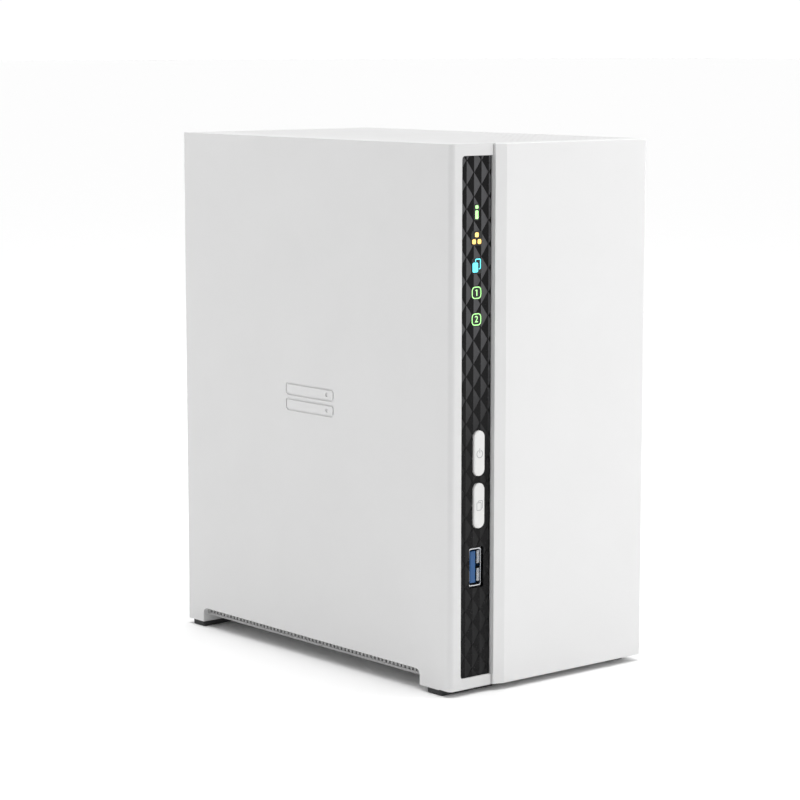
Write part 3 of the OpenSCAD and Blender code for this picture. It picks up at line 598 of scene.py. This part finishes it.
def make_frame():
    """Front frame: a back plate with the strip's surround drawn forward, and the openings behind the door."""
    low, high = frame_low, frame_high
    body = block("front_surround", (low.x, Y_BAY, low.z), high)
    select(body, "FACE", lambda m, s: True)
    bpy.ops.mesh.bisect(plane_co=(STRIP_RIGHT * MM, 0, 0), plane_no=(1, 0, 0))
    select(body, "FACE", lambda m, s: m.y < Y_BAY + 0.1 and s.y < 0.1 and m.x < STRIP_RIGHT)
    bpy.ops.mesh.extrude_region_move(TRANSFORM_OT_translate={"value": (0, (low.y - Y_BAY) * MM, 0)})
    round_edges(body, 2.0, 10, lambda m, s: s.z > 100 and m.x < low.x + 0.1 and m.y < low.y + 0.1)
    recess = block("recess", (strip_low.x, low.y - 1, strip_low.z),
                   (STRIP_RIGHT + 2, low.y + 2.4, strip_high.z))
    round_edges(recess, 1.2, 6, lambda m, s: s.y > 1 and s.x < 0.1 and s.z < 0.1 and m.x < strip_low.x + 0.1)
    combine(body, recess)
    round_sharp(body, 0.3, 3, lambda m, s: m.y < low.y + 0.05 and strip_low.z - 0.2 < m.z < strip_high.z + 0.2
                and strip_low.x - 0.2 < m.x < STRIP_RIGHT - 0.05)
    round_sharp(body, 0.7, 4, lambda m, s: m.z < low.z + 0.05 and m.y < high.y - 0.1
                and m.x < STRIP_RIGHT - 0.05)
    combine(body, block("bay_opening", (BAY[0], Y_BAY - 1, BAY[2]), (BAY[1], high.y + 1, BAY[3])))
    combine(body, block("board_opening", (strip_low.x, Y_BAY, low.z + 8),
                        (BAY[0] - 1.5, high.y + 1, high.z - 8)))
    for z in (POWER_Z, COPY_Z):
        combine(body, key_shape("key_hole", z, 0.4, Y_BAY - 3, Y_BAY + 1))
    combine(body, usb_hole(Y_BAY - 3))
    for x, z in PEGS:
        combine(body, rod("peg_hole", (x, Y_BAY - 1, z), 4, 1.9, "Y", 24))
    smooth(body)
    ride(body, "housing", shell_abs, "white_shell", "front_frame")


def usb_hole(y):
    """Cutter for the front socket's opening."""
    middle = (shell_low + shell_high) / 2
    hole = block("usb_hole", (middle.x - 3.25, y, middle.z - 7.1), (middle.x + 3.25, y + 8, middle.z + 7.1))
    round_edges(hole, 0.7, 4, lambda m, s: s.y > 1 and s.x < 0.1 and s.z < 0.1)
    return hole


def key_shape(name, z, grow, y_front, y_back):
    """Upright pill round the place of a key."""
    w, h = KEY_W / 2 + grow, KEY_H / 2 + grow
    shape = block(name, (KEY_X - w, y_front, z - h), (KEY_X + w, y_back, z + h))
    round_edges(shape, w * 0.96, 14, lambda m, s: s.y > 1 and s.x < 0.1 and s.z < 0.1)
    return shape


def make_grille():
    """Top plate: rows of round holes, every other row moved on by half a pitch, in a plain surround.

    Known fault: the fill covers the holes as well, with stray faces across their middles, so none is open.
    """
    x0, y0, z = -31.5, -70.8, grille_high.z
    cells, columns, pitch, hole_r = 48, 25, 3.0, 0.7
    half = pitch / 2
    rest()
    bpy.ops.mesh.primitive_plane_add(size=1, scale=(1, 1, 1),
                                     location=((x0 + half / 2) * MM, (y0 + half) * MM, z * MM))
    row = bpy.context.object
    row.scale = (half * MM, pitch * MM, 1)
    row = settle("grille_row")
    select(row, "EDGE", lambda m, s: s.y > 1)
    bpy.ops.mesh.subdivide(number_cuts=1)
    select(row, "FACE", lambda m, s: True)
    bpy.ops.mesh.delete(type="ONLY_FACE")
    bpy.ops.mesh.primitive_circle_add(vertices=10, radius=hole_r * MM, fill_type="NOTHING",
                                      location=((x0 + half / 2) * MM, (y0 + half) * MM, z * MM))
    bpy.ops.mesh.select_all(action="SELECT")
    bpy.ops.mesh.fill(use_beauty=True)
    rest()
    repeat(row, cells, (0, pitch, 0))
    next_row = copy_of(row, "grille_next_row", (half, half, 0))
    ends = []
    for name, x, y in (("end_a", x0, y0 + cells * pitch), ("end_b", x0 + half, y0)):
        rest()
        bpy.ops.mesh.primitive_plane_add(size=half * MM,
                                         location=((x + half / 2) * MM, (y + half / 2) * MM, z * MM))
        ends.append(settle(name))
    field = join("top_grille_panel", row, next_row, *ends)
    repeat(field, columns, (pitch, 0, 0))
    x1, y1 = x0 + columns * pitch, y0 + cells * pitch + half
    rest()
    bpy.ops.mesh.primitive_plane_add(size=1)
    rim = bpy.context.object
    rim.location = ((grille_low.x + grille_high.x) / 2 * MM, (Y_BAY + grille_high.y) / 2 * MM, z * MM)
    rim.scale = ((grille_high.x - grille_low.x) * MM, (grille_high.y - Y_BAY) * MM, 1)
    rim = settle("grille_rim")
    select(rim, "FACE", lambda m, s: True)
    bpy.ops.mesh.bisect(plane_co=(STRIP_RIGHT * MM, 0, 0), plane_no=(1, 0, 0))
    select(rim, "EDGE", lambda m, s: m.y < Y_BAY + 0.1 and m.x < STRIP_RIGHT - 1 and s.x > 1)
    bpy.ops.mesh.extrude_region_move(TRANSFORM_OT_translate={"value": (0, (grille_low.y - Y_BAY) * MM, 0)})
    select(rim, "VERT", lambda m, s: m.y > grille_high.y - 0.1)
    bpy.ops.mesh.bevel(offset=1.6 * MM, segments=8, affect="VERTICES")
    select(rim, "VERT", lambda m, s: m.y < grille_low.y + 0.1 and m.x < grille_low.x + 0.1)
    bpy.ops.mesh.bevel(offset=2.0 * MM, segments=10, affect="VERTICES")
    select(rim, "FACE", lambda m, s: True)
    bpy.ops.mesh.dissolve_faces()
    select(rim, "FACE", lambda m, s: True)
    bpy.ops.mesh.delete(type="ONLY_FACE")
    rest()
    plate = join("top_grille_panel", field, rim)
    select(plate, "VERT", lambda m, s: True)
    bpy.ops.mesh.remove_doubles(threshold=0.00001)
    mesh = select(plate, "EDGE", lambda m, s: True)
    for edge in mesh.edges:
        middle = (edge.verts[0].co + edge.verts[1].co) / 2 / MM
        on_field = (x0 - 0.05 < middle.x < x1 + 0.05 and y0 - 0.05 < middle.y < y1 + 0.05)
        at_side = on_field and (min(abs(middle.x - x0), abs(middle.x - x1)) < 0.05
                                or min(abs(middle.y - y0), abs(middle.y - y1)) < 0.05)
        edge.select_set((at_side or not on_field) and len(edge.link_faces) < 2)
    bmesh.update_edit_mesh(plate.data)
    bpy.ops.mesh.fill(use_beauty=True)
    bpy.ops.mesh.select_all(action="SELECT")
    bpy.ops.mesh.normals_make_consistent(inside=False)
    rest()
    if plate.data.polygons[0].normal.z < 0:
        plate.data.flip_normals()
    thick = plate.modifiers.new("thick", "SOLIDIFY")
    thick.thickness, thick.offset = WALL * MM, -1
    finish_modifier(plate, thick)
    field_low, field_high = Vector((x0 - 0.3, y0 - 0.3)), Vector((x1 + 0.3, y1 + 0.3))
    round_sharp(plate, 0.3, 3, lambda m, s: m.z > z - 0.05 and not (
        field_low.x < m.x < field_high.x and field_low.y < m.y < field_high.y) and m.x < grille_high.x + 1
        and (m.x < STRIP_RIGHT - 0.1 or m.y > Y_BAY + 0.1))
    smooth(plate)
    ride(plate, "housing", shell_abs, "white_shell", "top_grille")
    # The walls of the holes get the dark grey of painted shade.
    plate.data.materials.append(hole_shade_abs)
    for face in plate.data.polygons:
        place = face.center / MM
        if abs(face.normal.z) < 0.5 and x0 < place.x < x1 and y0 < place.y < y1:
            face.material_index = 1


def half_diamond(name, side, y, half_w, half_h, lean):
    """One half of a folded diamond: a thin prism whose upright fold stands proud of its outer corner."""
    rest()
    bpy.ops.mesh.primitive_circle_add(vertices=4, radius=MM, fill_type="NOTHING",
                                      rotation=(math.pi / 2, 0, 0))
    tile = bpy.context.object
    tile.scale = (half_w - 0.008, half_h - 0.01, 1)
    bpy.ops.object.transform_apply(location=True, rotation=True, scale=True)
    tile.location = (0, (y + lean) * MM, 0)
    tile = settle(name)
    select(tile, "VERT", lambda m, s: m.x * side < -0.1)
    bpy.ops.mesh.delete(type="VERT")
    select(tile, "VERT", lambda m, s: True)
    bpy.ops.mesh.edge_face_add()
    bpy.ops.mesh.extrude_region_move(TRANSFORM_OT_translate={"value": (0, (1.0 - lean) * MM, 0)})
    bpy.ops.mesh.select_all(action="SELECT")
    bpy.ops.mesh.normals_make_consistent(inside=False)
    select(tile, "VERT", lambda m, s: abs(m.x) < 0.1 and m.y < y + lean + 0.05)
    bpy.ops.transform.translate(value=(0, -lean * MM, 0))
    select(tile, "VERT", lambda m, s: True)
    bpy.ops.transform.translate(value=(side * 0.004 * MM, 0, 0))
    rest()
    return tile


def make_strip():
    """Status strip: a flat back with folded diamonds, a gloss half and a satin half with a painted reflection on
    each.
    """
    low, high = strip_low, Vector((STRIP_RIGHT, strip_high.y, strip_high.z))
    back = block("strip_back", (low.x, low.y + 0.7, low.z), high)
    round_edges(back, 1.2, 6, lambda m, s: s.y > 0.5 and s.x < 0.1 and s.z < 0.1 and m.x < low.x + 0.1)
    half_w, half_h, lean = 3.32, 4.045, 0.2
    fold_x, node_z = -37.6, 174.95        # place of the first fold, and where one of its diamonds ends
    rows_below, rows = 22.5, 25
    halves = []
    for name, side in (("gloss_facets", -1), ("satin_facets_painted_reflection", 1)):
        tile = half_diamond("tile", side, low.y, half_w, half_h, lean)
        columns = []
        for i in range(-1, 5):
            start = node_z - rows_below * 2 * half_h + (half_h if i % 2 else 0)
            column = copy_of(tile, "column_%d" % i, (fold_x + i * half_w, 0, start))
            repeat(column, rows, (0, 0, 2 * half_h))
            columns.append(column)
        bpy.data.objects.remove(tile)
        facets = join(name, *columns)
        for place, way in (((low.x, 0, 0), (-1, 0, 0)), ((high.x, 0, 0), (1, 0, 0)),
                           ((0, 0, low.z), (0, 0, -1)), ((0, 0, high.z), (0, 0, 1))):
            select(facets, "FACE", lambda m, s: True)
            bpy.ops.mesh.bisect(plane_co=[p * MM for p in place], plane_no=way, use_fill=True,
                                clear_outer=True)
        halves.append(facets)
    for piece in [back] + halves:
        for z in (POWER_Z, COPY_Z):
            combine(piece, key_shape("key_hole", z, KEY_GAP, low.y - 1, low.y + 3))
        combine(piece, usb_hole(low.y - 1))
    gloss = join("status_strip", back, halves[0])
    smooth(gloss, 4)
    ride(gloss, "housing", strip_pc, "strip_black", "strip_panel")
    # The right-hand halves get the painted grey reflection.
    smooth(halves[1], 4)
    ride(halves[1], "housing", painted_reflection_pc, "strip_black", "strip_panel")


def slab(name, x, z, width, height, radius, y_front, depth, segments=5):
    """A small upright plate with rounded corners, on the strip."""
    plate = block(name, (x - width / 2, y_front, z - height / 2),
                  (x + width / 2, y_front + depth, z + height / 2))
    round_edges(plate, radius, segments, lambda m, s: s.y > depth * 0.9 and s.x < 0.01 and s.z < 0.01)
    return plate


def ring(name, x, z, width, height, radius, line, y_front, depth):
    """The outline of such a plate."""
    outer = slab(name, x, z, width, height, radius, y_front, depth)
    inner = slab("inner", x, z, width - 2 * line, height - 2 * line, radius - line, y_front - 1, depth + 2)
    return combine(outer, inner)


def numeral(text, x, z, height, y_front, depth):
    """A bay number, cut from the plain built-in letters and made a mesh."""
    rest()
    bpy.ops.object.text_add(rotation=(math.pi / 2, 0, 0))
    sign = bpy.context.object
    sign.data.body, sign.data.size = text, height * MM / 0.7
    sign.data.extrude = depth / 2 * MM
    sign.data.align_x, sign.data.align_y = "CENTER", "CENTER"
    sign.data.resolution_u = 3
    sign.data.offset = 0.00001
    sign.location = (x * MM, (y_front + depth / 2) * MM, z * MM)
    bpy.ops.object.convert(target="MESH")
    return settle("numeral_" + text)


def make_lights():
    """The five status signs: drives 2 and 1, copy, network and information, each in a smoked surround."""
    x, y, deep = PANEL_X - 0.2, strip_low.y - 0.04, 0.5
    disk_2, disk_1, copy, network, info = LIGHTS
    green = [slab("info_dot", x, info + 1.75, 1.35, 1.2, 0.35, y, deep),
             slab("info_bar", x, info - 0.85, 1.35, 2.9, 0.35, y, deep)]
    green += [ring("bay_ring", x, z, 4.2, 4.1, 1.35, 0.3, y, deep) for z in (disk_1, disk_2)]
    green += [slab("one", x + 0.12, disk_1, 0.38, 2.2, 0.12, y, deep),
              slab("flag", x - 0.22, disk_1 + 0.78, 0.5, 0.34, 0.12, y, deep),
              numeral("2", x, disk_2, 2.2, y, deep)]
    amber = [slab("node", x + dx, network + dz, 1.6, 1.6, 0.45, y, deep)
             for dx, dz in ((0.05, 1.45), (-1.2, -0.85), (1.2, -0.85))]
    rear_sheet = ring("rear_sheet", x + 0.6, copy + 0.65, 2.5, 3.6, 0.55, 0.32, y, deep)
    front_gap = slab("front_gap", x - 0.55, copy - 0.45, 3.0, 3.8, 0.6, y - 1, deep + 2)
    cyan = [slab("front_sheet", x - 0.6, copy - 0.5, 2.4, 3.3, 0.5, y, deep), combine(rear_sheet, front_gap)]
    lens_y, lens_deep = y + 0.025, 0.45
    lenses = [slab("lens", x, info, 2.1, 5.6, 0.6, lens_y, lens_deep),
              slab("lens", x, copy, 4.4, 5.2, 0.9, lens_y, lens_deep),
              slab("lens", x, network + 0.3, 4.9, 4.9, 0.9, lens_y, lens_deep),
              slab("lens", x, disk_1, 4.7, 4.7, 1.5, lens_y, lens_deep),
              slab("lens", x, disk_2, 4.7, 4.7, 1.5, lens_y, lens_deep)]
    for name, parts, finish in (("green_signs", green, green_light), ("amber_sign", amber, amber_light),
                                ("cyan_sign", cyan, cyan_light), ("sign_lenses", lenses, smoke_pc)):
        sign = join(name, *parts)
        smooth(sign)
        ride(sign, "housing", finish, "status_smoke", "status_windows")


def make_keys():
    """Power and copy keys: pill heads with soft edges, a flange behind the frame and a stem to the switch."""
    y_face = strip_low.y - 0.6
    flange_h = key_high.z - key_low.z
    for node, body, z in (("power_button", "power_key", POWER_Z), ("copy_button", "copy_key", COPY_Z)):
        head = key_shape(node + "_head", z, 0, y_face, Y_BAY + 1.5)
        round_sharp(head, 0.5, 4, lambda m, s: m.y < y_face + 0.05)
        flange = block("flange", (key_low.x, Y_BAY + 0.5, z - flange_h / 2),
                       (key_high.x, Y_BAY + 1.5, z + flange_h / 2))
        round_edges(flange, 3.1, 8, lambda m, s: s.y > 0.5 and s.x < 0.01 and s.z < 0.01)
        stem = rod("stem", (KEY_X, Y_BAY + 1.4, z), 1.0, 1.5, "Y", 24)
        select(stem, "FACE", lambda m, s: m.y > Y_BAY + 2.3 and s.y < 0.01)
        bpy.ops.transform.translate(value=(0, (Y_STEM_END - Y_BAY - 2.4) * MM, 0))
        rest()
        key = join(node + "_key", head, flange, stem)
        smooth(key)
        ride(key, body, key_abs, "button_white", node)
    y, deep = y_face - 0.015, 0.1
    z = POWER_Z - 0.2
    power = rod("power_ring", (KEY_X, y, z), deep, 1.45, "Y", 40)
    combine(power, rod("inner", (KEY_X, y - 1, z), deep + 2, 1.15, "Y", 40))
    combine(power, block("gap", (KEY_X - 0.5, y - 1, z + 0.2), (KEY_X + 0.5, y + 2, z + 2.6)))
    mark = join("power_mark", power, slab("bar", KEY_X, z + 1.1, 0.3, 1.7, 0.12, y, deep))
    ride(mark, "power_key", key_ink, "button_white")
    z = COPY_Z - 0.2
    sheet = ring("copy_sheet", KEY_X - 0.25, z, 2.2, 2.9, 0.4, 0.26, y, deep)
    rear = ring("copy_rear", KEY_X + 0.35, z + 0.6, 2.2, 2.9, 0.4, 0.26, y, deep)
    combine(rear, block("gap", (KEY_X - 2, y - 1, z - 4.5), (KEY_X + 1.0, y + 2, z + 1.6)))
    mark = join("copy_mark", sheet, rear)
    ride(mark, "copy_key", key_ink, "button_white")


def make_front_socket():
    """USB socket: a thin drawn shell, two spring leaves, a blue tongue and its contacts."""
    low, high = shell_low, shell_high
    low = low + Vector((0, 0.6, 0))
    shell = block("usb_shell", low, high)
    round_edges(shell, 0.9, 5, lambda m, s: s.y > 10)
    hollow = block("hollow", (low.x + 0.4, low.y - 1, low.z + 0.4), (high.x - 0.4, high.y - 2, high.z - 0.4))
    round_edges(hollow, 0.6, 5, lambda m, s: s.y > 10)
    combine(shell, hollow)
    leaves = []
    for z in (low.z + 3.5, high.z - 3.5):
        leaf = block("leaf", (high.x - 1.0, low.y + 1.2, z - 2.2), (high.x - 0.3, low.y + 9, z + 2.2))
        select(leaf, "EDGE", lambda m, s: m.x < high.x - 0.9 and s.z > 4 and m.y > low.y + 8)
        bpy.ops.transform.translate(value=(0.6 * MM, 0, 0))
        rest()
        leaves.append(leaf)
    shell = join("front_usb_case", shell, *leaves)
    round_sharp(shell, 0.1, 2, lambda m, s: m.y < low.y + 0.05)
    smooth(shell)
    ride(shell, "housing", nickel_shell, "connector_steel", "front_usb_shell")
    t_low, t_high = edges_of("front_usb_tongue")
    tongue = block("usb_tongue", (t_low.x - 0.2, t_low.y - 0.4, t_low.z),
                   (t_high.x + 0.6, t_high.y, t_high.z))
    round_edges(tongue, 0.35, 3, lambda m, s: m.y < t_low.y)
    smooth(tongue)
    ride(tongue, "housing", tongue_pbt, "usb_blue", "front_usb_tongue")
    pads = []
    for i in range(4):
        z = t_low.z + 2.1 + i * 2.33
        pads.append(block("pad", (t_high.x + 0.5, t_low.y + 0.6, z - 0.5),
                          (t_high.x + 0.7, t_low.y + 8, z + 0.5)))
    pads = join("usb_contacts", *pads)
    round_sharp(pads, 0.05, 1, lambda m, s: m.x > t_high.x + 0.65)
    ride(pads, "housing", bearing_brass, "bearing_brass")


def make_door():
    """Bay door on four pegs, its left edge bevelled and its right one rounded.

    Known fault: the pocket isn't cut. The shell comes out filled, with its faces turned inwards, and the pocket's
    block stands 1 mm out of its back.
    """
    low, high, y_back = door_low, door_high, Y_DOOR_BACK
    bevel_width, bevel_depth, skin = 4, 1.2, 2.4
    door = block("bay_door_shell", (low.x, low.y, low.z), (high.x, y_back, high.z))
    select(door, "FACE", lambda m, s: m.y < low.y + 0.1 and s.y < 0.1)
    bpy.ops.mesh.select_all(action="SELECT")
    bpy.ops.mesh.bisect(plane_co=((low.x + bevel_width) * MM, 0, 0), plane_no=(1, 0, 0))
    select(door, "EDGE", lambda m, s: m.x < low.x + 0.1 and m.y < low.y + 0.1 and s.z > 100)
    bpy.ops.transform.translate(value=(0, bevel_depth * MM, 0))
    round_edges(door, 1.4, 8, lambda m, s: m.x > high.x - 0.1 and m.y < low.y + 0.1 and s.z > 100)
    round_sharp(door, 0.45, 4, lambda m, s: m.y < low.y + 1.5 and s.z < 100 and
                (m.z < low.z + 0.05 or m.z > high.z - 0.05))
    round_edges(door, 0.3, 3, lambda m, s: s.z > 100 and m.x < low.x + 4.1 and m.y < low.y + 1.3)
    combine(door, block("pocket", (low.x + 1.6, low.y + skin, low.z + 1.6),
                        (high.x - 1.6, y_back + 1, high.z - 1.6)))
    parts = [door]
    for z in range(30, 180, 30):
        parts.append(block("rib", (low.x + 1.4, low.y + 2.3, z - 0.6), (high.x - 1.4, low.y + 3.6, z + 0.6)))
    for x, z in PEGS:
        boss = rod("boss", (x, low.y + 2.3, z), y_back - low.y - 2.3, 2.4, "Y", 32)
        peg = rod("peg", (x, y_back - 0.1, z), high.y - y_back + 0.1, 1.5, "Y", 24)
        round_sharp(peg, 0.4, 3, lambda m, s: m.y > high.y - 0.05)
        parts += [boss, peg]
    door = join("bay_door_shell", *parts)
    smooth(door)
    ride(door, "door", door_abs, "white_door", "bay_door")


def make_feet():
    """Rubber feet: two long bars and two pads, each with a soft lower edge."""
    for name, node in (("front_foot", "front_foot_bar"), ("rear_foot", "rear_foot_bar")):
        low, high = edges_of(node)
        foot = block(name, low, high)
        round_edges(foot, 0.9, 5, lambda m, s: s.z > 1)
        round_sharp(foot, 0.35, 3, lambda m, s: m.z < low.z + 0.05)
        smooth(foot)
        ride(foot, "housing", foot_rubber, "rubber_black", node)
    low, high = edges_of("corner_foot_pads")
    pads = []
    for y0, y1 in ((low.y, low.y + 7.95), (high.y - 7.1, high.y)):
        pad = block("pad", (low.x, y0, low.z), (high.x, y1, high.z))
        round_edges(pad, 0.9, 5, lambda m, s: s.z > 1)
        round_sharp(pad, 0.35, 3, lambda m, s: m.z < low.z + 0.05)
        pads.append(pad)
    pads = join("corner_feet", *pads)
    smooth(pads)
    ride(pads, "housing", foot_rubber, "rubber_black", "corner_foot_pads")


# ---------- carried-over and softened nodes ----------

SOFTENED = (
    ("rear_panel", "housing", "white_shell", 0.12, shell_abs),
    ("drive_cage", "housing", "cage_steel", 0.2, galvanised),
    ("soc_heatsink", "housing", "heatsink_aluminium", 0.15, anodised_fins),
    ("memory_chips", "housing", "connector_black", 0.12, socket_pbt),
    ("coin_cell", "housing", "cell_steel", 0.3, cell_steel),
    ("capacitors", "housing", "capacitor_can", 0.4, drawn_can),
    ("lan_port", "housing", "connector_steel", 0.15, nickel_shell),
    ("rear_usb_shells", "housing", "connector_steel", 0.12, nickel_shell),
    ("rear_usb_tongues", "housing", "connector_black", 0.15, socket_pbt),
    ("dc_jack", "housing", "connector_black", 0.2, socket_pbt),
    ("backplane_sockets", "housing", "connector_black", 0.12, socket_pbt),
    ("board_joiner", "housing", "connector_black", 0.2, socket_pbt),
    ("fan_frame", "housing", "fan_black", 0.3, fan_nylon),
    ("fan_stator", "housing", "stator_copper", 0.4, winding_copper),
    ("fan_screws", "housing", "screw_steel", 0.12, zinc_screw),
    ("case_screws", "housing", "screw_steel", 0.12, zinc_screw),
    ("board_screws", "housing", "screw_steel", 0.15, zinc_screw),
    ("tact_switches", "housing", "connector_black", 0.1, socket_pbt),
    ("light_guide", "housing", "light_clear", 0.15, guide_acrylic),
    ("tray_1", "drive_tray_1", "tray_grey", 0.2, tray_abs),
    ("tray_2", "drive_tray_2", "tray_grey", 0.2, tray_abs),
    ("tray_lever_1", "lever_1", "lever_grey", 0.35, lever_abs),
    ("tray_lever_2", "lever_2", "lever_grey", 0.35, lever_abs),
    ("drive_casting_1", "drive_tray_1", "drive_casting", 0.5, casting_alloy),
    ("drive_casting_2", "drive_tray_2", "drive_casting", 0.5, casting_alloy),
    ("drive_lid_1", "drive_tray_1", "drive_lid", 0.35, brushed_lid),
    ("drive_lid_2", "drive_tray_2", "drive_lid", 0.35, brushed_lid),
    ("sata_adapter_1", "drive_tray_1", "board_green", 0.12, board_mask),
    ("sata_adapter_2", "drive_tray_2", "board_green", 0.12, board_mask),
    ("drive_screws_1", "drive_tray_1", "screw_steel", 0.2, zinc_screw),
    ("drive_screws_2", "drive_tray_2", "screw_steel", 0.2, zinc_screw),
    ("fan_rotor", "rotor", "fan_black", 0.25, fan_nylon),
    ("reset_button", "reset_key", "reset_grey", 0.3, pin_abs),
)

CARRIED = {
    "base_plate": shell_abs, "front_board": board_mask, "status_leds": led_lens, "main_board": board_mask,
    "backplane": board_mask, "fan_bearing": bearing_brass, "fan_lead": lead_pvc, "front_ribbon": ribbon_vinyl,
    "lever_pin_1": zinc_screw, "lever_pin_2": zinc_screw, "drive_board_1": board_mask,
    "drive_board_2": board_mask,
}


def finish_the_rest():
    """Rounded copies of the hard-edged nodes, and real finishes on the nodes that stay."""
    for node, body, slot, width, material in SOFTENED:
        ride(softened(node, node + "_soft", width), body, material, slot, node)
    for node, material in CARRIED.items():
        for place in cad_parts[node].material_slots:
            place.material = material


rest()
set_camera()
set_studio()
make_covers()
make_skirts()
make_frame()
make_grille()
make_strip()
make_lights()
make_keys()
make_front_socket()
make_door()
make_feet()
finish_the_rest()
rest()
